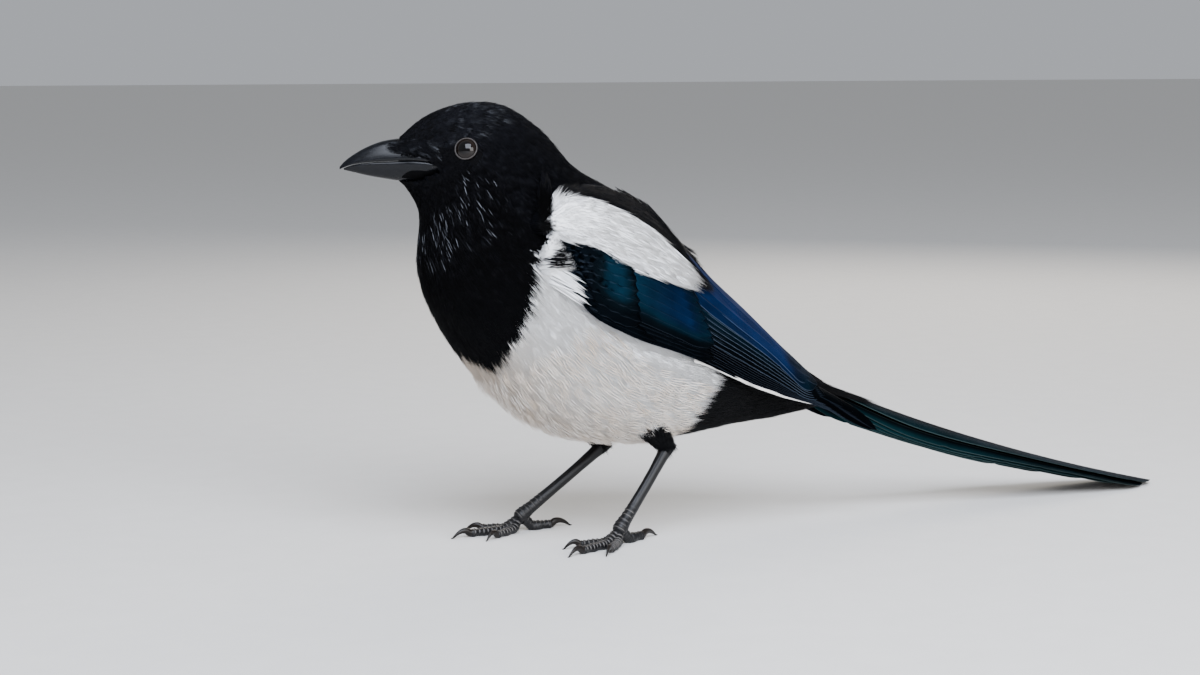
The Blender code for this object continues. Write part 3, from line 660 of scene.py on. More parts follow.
# Lines where feathers meet the bare bill: x and z over it and under it
OVER_BILL = ((-96.0, 175.5), (-92.0, 171.9), (-82.0, 170.9), (-79.0, 169.4), (-74.0, 167.2),
             (-70.0, 166.4))
UNDER_BILL = ((-92.0, 157.0), (-87.8, 159.4), (-83.3, 160.9), (-80.0, 162.6), (-76.6, 164.5),
              (-73.6, 166.6), (-70.0, 166.4))


def bill_side(x, z):
    """Half the whole bill's width at a point of its side view."""
    return np.maximum(bill_half_width(x, z, UPPER_BILL), bill_half_width(x, z, LOWER_BILL))


def bare_bill(x, z):
    """True where the bill shows bare in side view."""
    return (x < -72.5) & (z < table(OVER_BILL, x)) & (z > table(UNDER_BILL, x))


def eye_frame(side):
    """The eye's centre and its outward, forward and upward directions, head straight ahead."""
    x, z = EYE_PLACE
    step = 3.0
    width = body_half_width
    y = float(width(x, z))
    slope_x = float(width(x + step, z) - width(x - step, z)) / (2 * step)
    slope_z = float(width(x, z + step) - width(x, z - step)) / (2 * step)
    out = unit(np.array((-slope_x, 1.0, -slope_z)))
    ahead = np.array((-1.0, 0.0, 0.0))
    ahead = unit(ahead - out * (ahead @ out))
    rise = np.cross(ahead, out)
    rise *= np.sign(rise[2])
    centre = np.array((x, y, z)) - out * EYE_DEPTH
    flip = np.array((1.0, -side, 1.0))
    return centre * flip, out * flip, ahead * flip, rise * flip


def eye_distance(points):
    """Distance of points from the axis of the nearer eye, head straight ahead."""
    best = np.full(points.shape[:-1], 99.0)
    for side in (1, -1):
        centre, out, _, _ = eye_frame(side)
        off = points - centre
        level = off @ out
        away = np.linalg.norm(off - level[..., None] * out, axis=-1)
        best = np.where((level > 0) & (away < best), away, best)
    return best


def tree_of(points):
    """A tree that finds the nearest of many points."""
    tree = KDTree(len(points))
    for k, point in enumerate(points):
        tree.insert(point, k)
    tree.balance()
    return tree


WING_DOTS = wing_point(np.linspace(0, 1, 81)[:, None], np.linspace(0, 0.97, 41), 0)
WING_TREE = tree_of(WING_DOTS.reshape(-1, 3))


def wing_distance(points):
    """Distance from the wing's sheet on the bird's nearer side, for points of an N by 3 array."""
    folded = points.copy()
    folded[:, 1] = -np.abs(folded[:, 1])
    return np.array([WING_TREE.find(p)[2] for p in folded])


# How far the skin lies inside the body's outline, by t
COAT_DEPTH = ((0, 0.55), (0.12, 0.7), (0.25, 0.9), (0.4, 1.3), (0.55, 1.7), (0.75, 1.8), (0.9, 1.4),
              (1.0, 0.8))


def coat_depth(t, angle):
    """How far the skin lies inside the body's outline, deeper under wings and round the eyes."""
    depth = table(COAT_DEPTH, t)
    points = body_point(t, angle)
    shape = points.shape[:-1]
    near = wing_distance(points.reshape(-1, 3)).reshape(shape)
    depth = depth + (3.6 - depth) * ease((5.5 - near) / 2.5)
    return depth + 0.9 * ease((7.5 - eye_distance(points)) / 3.0) * (t < 0.4)


def build_skin():
    """One closed skin under the feathers, from the bill's root to the tail's, with both thighs."""
    lengths, turns = np.linspace(0, 1, 150), np.linspace(0, 2 * math.pi, 129)[:-1]
    t, angle = np.meshgrid(lengths, turns, indexing="ij")
    rings = body_point(t, angle, coat_depth(t, angle))
    x, y, z = rings[..., 0], rings[..., 1], rings[..., 2]
    # Inside the bill's root the skin keeps within the bill
    inside = bill_side(x, z) - 0.4
    limit = (x < -70.5) & (inside > 0) & (np.abs(y) > inside)
    rings[..., 1] = np.where(limit, np.sign(y) * inside, y)
    skin = shell_piece("skin", [tube_shell(to_row(rings), {})], SKIN, None)
    thighs = []
    for heel, _, knee in LEGS.values():
        heel, knee = np.array(heel), np.array(knee)
        share = np.linspace(0, 1, 24)
        radius = np.interp(share, (0, 0.3, 0.6, 0.85, 1.0), (12.5, 10.0, 7.0, 4.4, 3.0))
        path = knee + (heel - knee) * share[:, None]
        path[0] += (0, 0, 6)
        shell = tube_shell(to_row(rings_round(path, radius, 28)), {})
        thighs.append(shell_piece("thigh_skin", [shell], SKIN, None))
    group = bpy.data.collections.new("thighs")
    for thigh in thighs:
        group.objects.link(thigh)
    union = skin.modifiers.new("union", "BOOLEAN")
    union.operation = "UNION"
    union.operand_type = "COLLECTION"
    union.collection = group
    union.solver = "MANIFOLD"
    graph = bpy.context.evaluated_depsgraph_get()
    mesh = bpy.data.meshes.new_from_object(skin.evaluated_get(graph))
    skin.modifiers.clear()
    skin.data = mesh
    for thigh in thighs:
        bpy.data.objects.remove(thigh)
    bpy.data.collections.remove(group)
    # Each point takes its markings from the nearest place of the body; thighs are black
    tree = tree_of(to_row(rings).reshape(-1, 3))
    places = np.array([v.co for v in mesh.vertices])
    found = [tree.find(place) for place in places]
    near = np.array([k for _, k, _ in found])
    on_thigh = np.array([away for _, _, away in found]) > 0.0012
    mark = whiteness(t, angle).ravel()[near]
    mark[on_thigh] = 0.0
    add_values(mesh, {"mark": mark})
    uv = bake_place(t.ravel()[near], angle.ravel()[near] / (2 * math.pi))
    leg_x = 0.87 + (places[:, 0] - places[on_thigh, 0].min()) * 1.2
    leg_y = np.where(places[:, 1] < 0, 0.05, 0.55) + places[:, 2] * 5
    uv[on_thigh] = np.stack([leg_x, leg_y], -1)[on_thigh]
    corner_uv = uv[point_of_corner(mesh)]
    # A face over the seam keeps to one end of the unwrap
    for face in mesh.polygons:
        block = corner_uv[face.loop_start : face.loop_start + face.loop_total, 1]
        if block.max() - block.min() > 0.5:
            block[block < 0.5] = block.max()
    layer = mesh.uv_layers.new(name="OFBake")
    layer.data.foreach_set("uv", corner_uv.ravel())
    mesh.polygons.foreach_set("use_smooth", np.full(len(mesh.polygons), True))
    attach(skin, "root")
    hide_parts("head", "neck", "breast", "belly", "back", "rump", "left_thigh", "right_thigh")


def bake_place(t, turn):
    """Where a place on the body lies on the skin's unwrap: its length along, its girth upwards."""
    return np.stack([0.02 + 0.80 * t, 0.02 + 0.95 * turn], -1)


def rings_round(path, radius, sides, flat=1.0):
    """Rings of points round a path. Flat narrows them from side to side."""
    path = np.asarray(path, float)
    ahead = unit(np.gradient(path, axis=0))
    up = np.where(np.abs(ahead[:, 2:3]) > 0.94, np.array((1.0, 0, 0)), np.array((0, 0, 1.0)))
    side = unit(np.cross(ahead, up))
    rise = unit(np.cross(side, ahead))
    turn = np.linspace(0, 2 * math.pi, sides + 1)[:-1]
    radius = np.asarray(radius, float)
    if radius.ndim == 1:
        radius = radius[:, None]
    level, above = (np.cos(turn) * flat)[None, :, None], np.sin(turn)[None, :, None]
    arm = side[:, None] * level + rise[:, None] * above
    return path[:, None] + arm * radius[..., None]


# Heel, ball of the foot and knee of each leg, then the toes: turn, length, radius, claw
LEGS = {
    "left": ((25.0, -18.0, 40.0), (-3.0, -29.0, 7.5), (4.0, -24.0, 66.0)),
    "right": ((8.0, 15.0, 37.0), (-32.0, 16.0, 7.5), (-8.0, 22.0, 64.0)),
}
LEG_TURN = {"left": 26.0, "right": 6.0}
TOES = (("hind", 180.0, 15.0, 2.3, 11.0), ("inner", 26.0, 18.0, 2.0, 8.5),
        ("middle", 0.0, 26.0, 2.1, 9.5), ("outer", -27.0, 19.5, 1.9, 8.0))


# ---- Small feathers, laid by one node tree


def strand(root, heading, reach, wide, arch):
    """One barb or hair: a three-sided tapering solid, bent a little. Returns a shell."""
    ahead = np.array((math.cos(heading), math.sin(heading), 0))
    side = np.array((-math.sin(heading), math.cos(heading), 0))
    base = np.array((*root, 0.0))
    points = []
    for share, width in ((0.0, wide), (0.5, 0.82 * wide)):
        middle = base + ahead * reach * share + (0, 0, arch * 4 * share * (1 - share))
        across = side * width / 2
        points += [middle - across, middle + across, middle + (0, 0, width * 0.55)]
    points.append(base + ahead * reach)
    faces = [(0, 2, 1)]
    for a, b in ((0, 1), (1, 2), (2, 0)):
        faces += [(a, b, b + 3), (a, b + 3, a + 3), (a + 3, b + 3, 6)]
    return np.array(points), np.array(faces), {"along": np.array([0, 0, 0, 0.5, 0.5, 0.5, 1.0])}


def spike(root, heading, reach, wide, rise, level):
    """One fine barb: a three-sided spike from its root to its tip. Returns a shell."""
    ahead = np.array((math.cos(heading), math.sin(heading), 0))
    side = np.array((-math.sin(heading), math.cos(heading), 0)) * wide / 2
    base = np.array((*root, level))
    tip = base + ahead * reach + (0, 0, rise)
    points = np.array([base - side, base + side, base + (0, 0, wide * 0.3), tip])
    faces = np.array([(0, 2, 1), (0, 1, 3), (1, 2, 3), (2, 0, 3)])
    return points, faces, {"along": np.array([0, 0, 0, 1.0])}


def spear(seed):
    """A narrow stiff feather, one long and one wide, keeled and with a worn tip."""
    rng = np.random.default_rng(seed)
    s = np.linspace(-1, 1, 3)
    reach = 1 - 0.16 * s**2 - 0.03 * rng.random(3)
    t = (np.linspace(0, 1, 5) ** 0.8)[:, None] * reach
    y = s * 0.5 * table(((0, 0.4), (0.3, 0.9), (0.6, 1.0), (0.85, 0.5), (1, 0.1)), t)
    z = 0.08 * 4 * t * (1 - t) + 0.15 * (1 - s**2) * np.sin(np.pi * np.clip(t, 0, 1)) ** 0.5
    top = np.stack([t, y, z], -1)
    points, faces, values = sheet_shell(top, top - (0, 0, 0.07), {"along": t})
    return points, np.concatenate([faces[:, [0, 1, 2]], faces[:, [0, 2, 3]]]), values


def make_prototypes():
    """Collections of small feathers, four shapes of each, that the node tree lays many times."""
    made = {name: bpy.data.collections.new(name) for name in ("velvet", "plume", "lance", "hair")}

    def keep(kind, k, shells):
        points, faces, values = join_shells(shells)
        patch = np.stack([points[:, 0], points[:, 1] + 0.5], -1)
        obj = piece(f"{kind}_{k}", points, faces, BLACK, None, {"OFBake": patch}, values)
        bpy.context.scene.collection.objects.unlink(obj)
        made[kind].objects.link(obj)

    for k in range(4):
        rng = np.random.default_rng(50 + k)
        draw = rng.uniform
        for kind, count, wide, lean in (("velvet", 11, 0.17, 0.3), ("plume", 15, 0.115, 0.26)):
            tuft = []
            for y in np.linspace(-0.46, 0.46, count):
                root = (draw(0, 0.3), y * 0.9 + draw(-0.03, 0.03))
                tuft.append(spike(
                    root, y * lean + draw(-0.07, 0.07), draw(0.62, 1.0) - root[0] * 0.4,
                    wide * draw(0.8, 1.2), draw(-0.02, 0.06), draw(-0.05, 0.06),
                ))
            keep(kind, k, tuft)
        keep("lance", k, [spear(90 + k)])
        rng.random(16)  # Passed over, so that the hairs below keep their shapes
        tuft = []
        for y in np.linspace(-0.4, 0.4, 4):
            tuft.append(strand(
                (draw(0, 0.2), y), y * 0.4 + draw(-0.15, 0.15), draw(0.6, 1.0), 0.12, draw(0.05, 0.3),
            ))
        keep("hair", k, tuft)
    return made


def coat_tree():
    """The node tree that lays a small feather on each point, along its facing direction."""
    tree = bpy.data.node_groups.new("lay_feathers", "GeometryNodeTree")
    for name, kind in (
        ("Roots", "Geometry"), ("Feathers", "Collection"), ("Unevenness", "Float"), ("Seed", "Int"),
        ("Finish", "Material"),
    ):
        tree.interface.new_socket(name, in_out="INPUT", socket_type=f"NodeSocket{kind}")
    tree.interface.new_socket("Coat", in_out="OUTPUT", socket_type="NodeSocketGeometry")
    given = add(tree, "NodeGroupInput").outputs

    def named(name, data_type="FLOAT_VECTOR"):
        kind = "GeometryNodeInputNamedAttribute"
        return add(tree, kind, {"Name": name}, data_type=data_type).outputs[0]

    least = maths(tree, "MULTIPLY", given["Unevenness"], -1.0)

    def uneven(seed):
        inputs = {2: least, 3: given["Unevenness"], "Seed": seed}
        return add(tree, "FunctionNodeRandomValue", inputs, data_type="FLOAT").outputs[1]

    aim = add(
        tree,
        "FunctionNodeAxesToRotation",
        {"Primary Axis": named("facing"), "Secondary Axis": named("outward")},
        primary_axis="X",
        secondary_axis="Z",
    )
    roll, wobble = uneven(maths(tree, "ADD", given["Seed"], 7.0)), uneven(given["Seed"])
    turn = add(tree, "ShaderNodeCombineXYZ", {"X": roll, "Z": wobble})
    turn = add(tree, "FunctionNodeEulerToRotation", {0: turn.outputs[0]})
    turned = add(
        tree,
        "FunctionNodeRotateRotation",
        {"Rotation": aim.outputs[0], "Rotate By": turn.outputs[0]},
        rotation_space="LOCAL",
    )
    feathers = add(
        tree,
        "GeometryNodeCollectionInfo",
        {"Collection": given["Feathers"], "Separate Children": True, "Reset Children": True},
    )
    laid = add(
        tree,
        "GeometryNodeInstanceOnPoints",
        {
            "Points": given["Roots"],
            "Instance": feathers.outputs[0],
            "Pick Instance": True,
            "Instance Index": named("kind", "INT"),
            "Rotation": turned.outputs[0],
            "Scale": named("size"),
        },
    )
    real = add(tree, "GeometryNodeRealizeInstances", {"Geometry": laid.outputs[0]})
    # A feather's own map becomes a small patch at its place on the skin's unwrap
    placed = add(
        tree,
        "ShaderNodeVectorMath",
        {0: named("OFBake"), 1: (0.003, 0.003, 0.0), 2: named("patch")},
        operation="MULTIPLY_ADD",
    )
    stored = add(
        tree,
        "GeometryNodeStoreNamedAttribute",
        {"Geometry": real.outputs[0], "Name": "OFBake", "Value": placed.outputs[0]},
        data_type="FLOAT2",
        domain="CORNER",
    )
    finish = {"Geometry": stored.outputs[0], "Material": given["Finish"]}
    finished = add(tree, "GeometryNodeSetMaterial", finish)
    add(tree, "NodeGroupOutput", {"Coat": finished.outputs[0]})
    return tree


PROTOTYPES = make_prototypes()
COAT_TREE = coat_tree()


def feathers_from(start, end, outward, width, patch, tone):
    """What lay_coat() has to know of the feathers from start to end in the row frame."""
    reach = np.linalg.norm(end - start, axis=-1)
    return {
        "place": start, "facing": unit(end - start), "outward": outward, "length": reach * 1000,
        "width": width, "patch": patch, "tone": tone,
    }


def lay_coat(name, roots, feathers, material, seed, unevenness=0.1):
    """Lays small feathers on roots and keeps the outcome as one plain mesh piece."""
    mesh = bpy.data.meshes.new(name)
    mesh.from_pydata(roots["place"], [], [])
    count = len(roots["place"])
    vectors = {
        "facing": roots["facing"],
        "outward": roots["outward"],
        "patch": np.concatenate([roots["patch"], np.zeros((count, 1))], -1),
        "size": np.stack([roots["length"], roots["width"], roots["width"]], -1) * 0.001,
    }
    for key, value in vectors.items():
        layer = mesh.attributes.new(key, "FLOAT_VECTOR", "POINT")
        layer.data.foreach_set("vector", np.asarray(value, float).ravel())
    layer = mesh.attributes.new("kind", "INT", "POINT")
    layer.data.foreach_set("value", np.random.default_rng(seed).integers(0, 4, count))
    add_values(mesh, {"tone": roots["tone"]})
    bare = linked(name, mesh)
    modifier = bare.modifiers.new("coat", "NODES")
    modifier.node_group = COAT_TREE
    given = {
        "Feathers": PROTOTYPES[feathers], "Unevenness": unevenness, "Seed": seed, "Finish": material,
    }
    for item in COAT_TREE.interface.items_tree:
        if item.name in given:
            modifier[item.identifier] = given[item.name]
    graph = bpy.context.evaluated_depsgraph_get()
    made = bpy.data.meshes.new_from_object(bare.evaluated_get(graph))
    bpy.data.objects.remove(bare)
    for key in (*vectors, "kind"):
        if key in made.attributes:
            made.attributes.remove(made.attributes[key])
    made.name = name
    obj = linked(name, made)
    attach(obj, "root")


def thin_out(points, spacing):
    """Indices of points that stand at least their spacing apart."""
    tree = tree_of(points)
    alive = np.ones(len(points), bool)
    for k in range(len(points)):
        if alive[k]:
            for _, other, _ in tree.find_range(points[k], spacing[k]):
                if other > k:
                    alive[other] = False
    return np.nonzero(alive)[0]


# The body is drawn from in cells: how many along it and round it
CELLS = (120, 96)


def body_roots(seed, spacing, inside, tip_depth=(0.2, 0.9)):
    """Roots spread over the body where inside(t, folded) is true.

    Spacing is a table of mm by t. A feather points at its tip's place on the body's
    outline, so it follows the lie of the coat.
    """
    rng = np.random.default_rng(seed)
    mesh_t, mesh_a = np.meshgrid(
        (np.arange(CELLS[0]) + 0.5) / CELLS[0],
        (np.arange(CELLS[1]) + 0.5) / CELLS[1] * 2 * math.pi,
        indexing="ij",
    )
    step_t = body_point(mesh_t + 0.002, mesh_a) - body_point(mesh_t - 0.002, mesh_a)
    step_a = body_point(mesh_t, mesh_a + 0.01) - body_point(mesh_t, mesh_a - 0.01)
    area = np.linalg.norm(np.cross(step_t, step_a), axis=-1) / 0.004 / 0.02
    area = area * (1 / CELLS[0]) * (2 * math.pi / CELLS[1])
    by_eye = (eye_distance(body_point(mesh_t, mesh_a)) < 8.5) & (mesh_t < 0.4)
    weight = area / table(spacing, mesh_t) ** 2 * (1 + 2.5 * by_eye)
    weight = weight * inside(mesh_t, degrees_from_back(mesh_a))
    count = int(weight.sum() * 3.2)
    cell = rng.choice(weight.size, count, p=(weight / weight.sum()).ravel())
    t = mesh_t.ravel()[cell] + rng.uniform(-0.5, 0.5, count) / CELLS[0]
    angle = mesh_a.ravel()[cell] + rng.uniform(-0.5, 0.5, count) * 2 * math.pi / CELLS[1]
    t = np.clip(t, 0, 1)
    flat = body_point(t, angle)
    crowd = 1 - 0.45 * ease((9.0 - eye_distance(flat)) / 2.5) * (t < 0.4)
    keep = thin_out(flat, table(spacing, t) * 0.8 * crowd)
    t, angle, flat = t[keep], angle[keep], flat[keep]
    # None grows under a wing, on the bare bill or within the lids
    near = wing_distance(flat)
    keep = (near > 1.5) | (t < 0.40)
    keep &= (eye_distance(flat) > 4.9) & ~bare_bill(flat[:, 0], flat[:, 2])
    t, angle, flat, near = t[keep], angle[keep], flat[keep], near[keep]
    root = body_point(t, angle, coat_depth(t, angle) + 0.25)
    side = bill_side(root[:, 0], root[:, 2]) + 0.1
    on_bill = (root[:, 0] < -72) & (np.abs(root[:, 1]) < side) & (side > 0.2)
    root[:, 1] = np.where(on_bill, np.sign(root[:, 1]) * side, root[:, 1])
    reach = table(LENGTH, t) * rng.uniform(0.85, 1.15, len(t))
    # Feathers ahead of an eye stop at its lids
    to_eye = eye_distance(flat)
    ahead = (flat[:, 0] < EYE_PLACE[0] + 1) & (to_eye < 11)
    reach = np.where(ahead, np.minimum(reach, np.maximum(to_eye - 4.9, 0.9)), reach)
    speed = np.linalg.norm(body_point(t, angle) - body_point(t - 0.004, angle), axis=-1) / 0.004
    t_tip = t + reach / np.maximum(speed, 60)
    turn = angle + rng.normal(0, 0.03, len(t))
    tucked = 0.45 * np.maximum(5.0 - near, 0) * (t > 0.4)
    tip = body_point(np.minimum(t_tip, 1), turn, rng.uniform(*tip_depth, len(t)) + tucked)
    end = np.ones(len(t))
    beyond = unit(body_point(end, turn) - body_point(0.98 * end, turn))
    tip = tip + beyond * (np.maximum(t_tip - 1, 0) * speed)[:, None]
    made = feathers_from(
        to_row(root), to_row(tip), body_outward(t, angle),
        table(WIDTH, t) * rng.uniform(0.85, 1.15, len(t)),
        bake_place(np.clip(t, 0, 1), np.mod(angle / (2 * math.pi), 1)),
        np.clip(rng.normal(0.42, 0.14, len(t)), 0, 1),
    )
    white = whiteness(t + 0.6 * reach / np.maximum(speed, 60), angle) > 0.5
    return {**made, "t": t, "angle": angle, "white": white}


def some(roots, chosen):
    return {key: value[chosen] for key, value in roots.items()}


# ---- The body's coat

# Between roots, of a feather's length and of its width, in mm by t
SPACING = ((0, 0.7), (0.1, 0.85), (0.2, 1.0), (0.3, 1.2), (0.4, 1.4), (0.5, 1.45), (0.7, 1.5), (1, 1.7))
LENGTH = ((0, 2.6), (0.08, 3.4), (0.2, 4.8), (0.3, 6.8), (0.4, 8.8), (0.5, 10.5), (0.6, 12), (0.75, 13),
          (1, 12))
WIDTH = ((0, 1.1), (0.1, 1.5), (0.2, 1.9), (0.3, 2.4), (0.4, 2.9), (0.5, 3.3), (0.7, 3.6), (1, 3.6))


def dress_body():
    """The coat of head, neck, breast, back, belly and tail coverts."""
    roots = body_roots(11, SPACING, lambda t, folded: np.ones_like(t))
    reach = roots["facing"] * (0.001 * roots["length"])[:, None]
    # The white belly's feathers give way to the black trousers
    on_trousers = trouser_distance(roots["place"] + 0.5 * reach) < 2.5
    often = np.random.default_rng(4).random(len(reach)) < 0.7
    on_trousers |= (trouser_distance(roots["place"] + reach) < 2.0) & often
    roots = some(roots, ~(on_trousers & roots["white"]))
    t, white = roots["t"], roots["white"]
    folded = degrees_from_back(roots["angle"])
    rng = np.random.default_rng(5)
    count = len(t)
    fuzzy = t + rng.normal(0, 0.015, count)
    head = (fuzzy < 0.25) & ~white
    throat = ~head & ~white & (folded > 75) & (fuzzy < 0.42)
    mantle = ~head & ~white & (folded < 78) & (fuzzy < 0.985)
    bib = ~head & ~white & ~throat & ~mantle & (t < 0.62)
    vent = ~head & ~white & ~throat & ~mantle & ~bib
    # Painted sheen: black is painted lighter on the nape and the back, and white is painted darker and
    # warmer under the belly, as shade
    sheen = 0.26 * np.exp(-(((t - 0.2) / 0.11) ** 2)) * np.clip(1.2 - folded / 150, 0.2, 1)
    black = np.clip(0.12 + sheen + 0.22 * (folded < 80) + rng.normal(0, 0.08, count), 0, 0.75)
    # Painted shade: the white's tone falls towards the underside
    pale = np.clip(0.78 - 0.7 * ease((folded - 95) / 75) + rng.normal(0, 0.05, count), 0, 1)
    roots["tone"] = np.where(white, pale, np.where(vent, 0.1 * black, black))
    front = mantle & (t < 0.6)
    left = roots["angle"] < math.pi
    for name, chosen, feathers, seed, unevenness in (
        ("head", head, "velvet", 21, 0.1),
        ("throat", throat, "plume", 22, 0.1),
        ("left_mantle", front & left, "plume", 23, 0.07),
        ("right_mantle", front & ~left, "plume", 32, 0.07),
        ("rump", mantle & ~front, "plume", 28, 0.07),
        ("bib", bib, "plume", 24, 0.1),
        ("vent", vent, "plume", 25, 0.12),
    ):
        lay_coat(f"{name}_feathers", some(roots, chosen), feathers, BLACK, seed, unevenness)
    for name, chosen, seed in (("left", white & left, 26), ("right", white & ~left, 27)):
        belly = some(roots, chosen)
        lay_coat(f"{name}_belly_feathers", belly, "plume", WHITE, seed, 0.05)

    def low_belly(t, folded):
        return ((t > 0.56) & (t < 0.8) & (folded > 95)).astype(float)

    loose = body_roots(12, ((0, 3.2), (1, 3.2)), low_belly, (-2.2, -0.3))
    loose = some(loose, loose["white"])
    # Painted shade: the loose feathers under the belly are painted darker
    loose["tone"] = loose["tone"] * 0.5
    lay_coat("loose_belly_feathers", loose, "hair", WHITE, 30, 0.25)
    # Narrow glossy tips over throat and cheeks, their tone painted pale as highlights
    lit = ~white & (t > 0.15) & (t < 0.41) & (folded > 62)
    chance = np.exp(-(((t - 0.325) / 0.055) ** 2)) * np.clip((folded - 68) / 35, 0, 1)
    spears = some(roots, lit & (rng.random(count) < 0.6 * chance))
    number = len(spears["t"])
    spears["width"] = rng.uniform(0.26, 0.4, number)
    spears["length"] = spears["length"] * rng.uniform(0.4, 0.65, number)
    # Painted highlights: a high tone makes the tips pale
    spears["tone"] = rng.uniform(0.3, 1.0, number) ** 1.5
    spears["place"] = spears["place"] + spears["outward"] * 0.00045
    lay_coat("throat_lances", spears, "lance", BLACK, 29, 0.03)


# Radius of a feathered thigh, by the share of the way from knee to heel
THIGH_GIRTH = ((0, 12.5), (0.3, 10.0), (0.6, 7.0), (0.85, 4.4), (1.0, 3.2), (1.3, 2.6))


def trouser_distance(points):
    """Distance in mm of points (row frame) from the surface of the thighs' lower halves."""
    best = np.full(len(points), 99.0)
    for heel, _, knee in LEGS.values():
        heel, knee = to_row(np.array(heel)) * 1000, to_row(np.array(knee)) * 1000
        shin = heel - knee
        share = np.clip((points * 1000 - knee) @ shin / (shin @ shin), 0.5, 1.2)
        away = np.linalg.norm(points * 1000 - knee - share[:, None] * shin, axis=-1)
        best = np.minimum(best, away - table(THIGH_GIRTH, share))
    return best


def limb_roots(seed, side, spacing, length, width, start, end):
    """Roots round one thigh from start to end of its length, pointing down to the heel."""
    rng = np.random.default_rng(seed)
    heel, _, knee = (np.array(p) for p in LEGS[side])
    count = 1500
    share = rng.uniform(start, end, count)
    turn = rng.uniform(0, 2 * math.pi, count)
    ahead = unit(heel - knee)
    across = unit(np.cross(ahead, (0, 0, 1.0)))
    rise = np.cross(across, ahead)

    def at(share, turn, out):
        ring = across * np.cos(turn)[:, None] + rise * np.sin(turn)[:, None]
        return knee + (heel - knee) * share[:, None] + ring * (table(THIGH_GIRTH, share) + out)[:, None]

    keep = thin_out(at(share, turn, 0.0), np.full(count, spacing))
    share, turn = share[keep], turn[keep]
    number = len(share)
    reach = np.interp(share, (0, 1), length) * rng.uniform(0.8, 1.15, number)
    share_tip = np.minimum(share + reach / np.linalg.norm(heel - knee), 1.16)
    root = to_row(at(share, turn, -0.6))
    turn_tip = turn + rng.normal(0, 0.1, number)
    tip = to_row(at(share_tip, turn_tip, rng.uniform(0.3, 1.4, number)))
    strip = 0.05 if side == "left" else 0.55
    return feathers_from(
        root, tip, unit(to_row(at(share, turn, 1.0)) - root),
        rng.uniform(0.85, 1.15, number) * width,
        np.stack([0.86 + 0.10 * turn / 6.3, strip + 0.3 * np.clip(share, 0, 1)], -1),
        np.clip(rng.normal(0.4, 0.14, number), 0, 1),
    )


# ---- Wings

WING_LENGTH = 185.0
# Flight feathers from the lowest: place across the wing, root, tip, half width
PRIMARY_TIPS = (0.93, 0.965, 0.99, 1.0, 0.995, 0.98, 0.96, 0.935, 0.905)
PRIMARIES = tuple((0.035 + 0.026 * k, 0.34, tip, 3.1) for k, tip in enumerate(PRIMARY_TIPS))
SECONDARIES = tuple((0.285 + 0.052 * k, 0.30, 0.845 - 0.006 * k, 4.2) for k in range(6))
TERTIALS = ((0.62, 0.27, 0.815, 6.6), (0.74, 0.29, 0.79, 7.4), (0.86, 0.38, 0.765, 6.0))
FLIGHT = PRIMARIES + SECONDARIES + TERTIALS
PRIMARY_COVERTS = tuple((0.05 + 0.03 * k, 0.15, 0.47 - 0.006 * k, 2.6) for k in range(5))
GREATER_COVERTS = tuple((0.20 + 0.062 * k, 0.12, 0.46 - 0.012 * k, 4.8) for k in range(7))
MEDIAN_COVERTS = tuple((0.12 + 0.065 * k, 0.03, 0.25 - 0.006 * k, 4.6) for k in range(7))
ALULA = ((0.03, 0.07, 0.30, 2.0), (0.065, 0.06, 0.27, 2.0), (0.10, 0.05, 0.24, 2.0))
WHITE_WEBS = ((-0.014, 0.42, 0.86, 2.3), (0.008, 0.48, 0.90, 2.0))


def vane_outline(t, root_share, tip_share, round_from=0.86):
    """A feather's width along its length, as a share of its full width."""
    swell = root_share + (1 - root_share) * ease(t / 0.35)
    rounding = np.sqrt(np.maximum(0, 1 - (np.maximum(0, t - round_from) / (1 - round_from)) ** 2))
    return swell * np.maximum(rounding, tip_share)


def vane_columns(shaft):
    """Places across a vane from -1 to 1, close together at the rims and the shaft."""
    low = shaft + (-1 - shaft) * np.array((1, 0.93, 0.78, 0.55, 0.3, 0.12))
    high = shaft + (1 - shaft) * np.array((0.12, 0.3, 0.55, 0.78, 0.93, 1))
    return np.concatenate([low, (shaft - 0.035, shaft, shaft + 0.035), high])


def worn_edge(rng, t, notches, depth):
    """A rim's width along a vane with a few slits where the barbs have parted."""
    width = 1 + 0.008 * np.interp(t, np.linspace(0, 1, 9), rng.uniform(-1, 1, 9))
    for place in rng.uniform(0.35, 0.97, notches):
        width = width * (1 - depth * np.exp(-(((t - place) / 0.006) ** 2)))
    return width


def always(number):
    """A rule that gives the same number for every feather."""
    return lambda *places: number


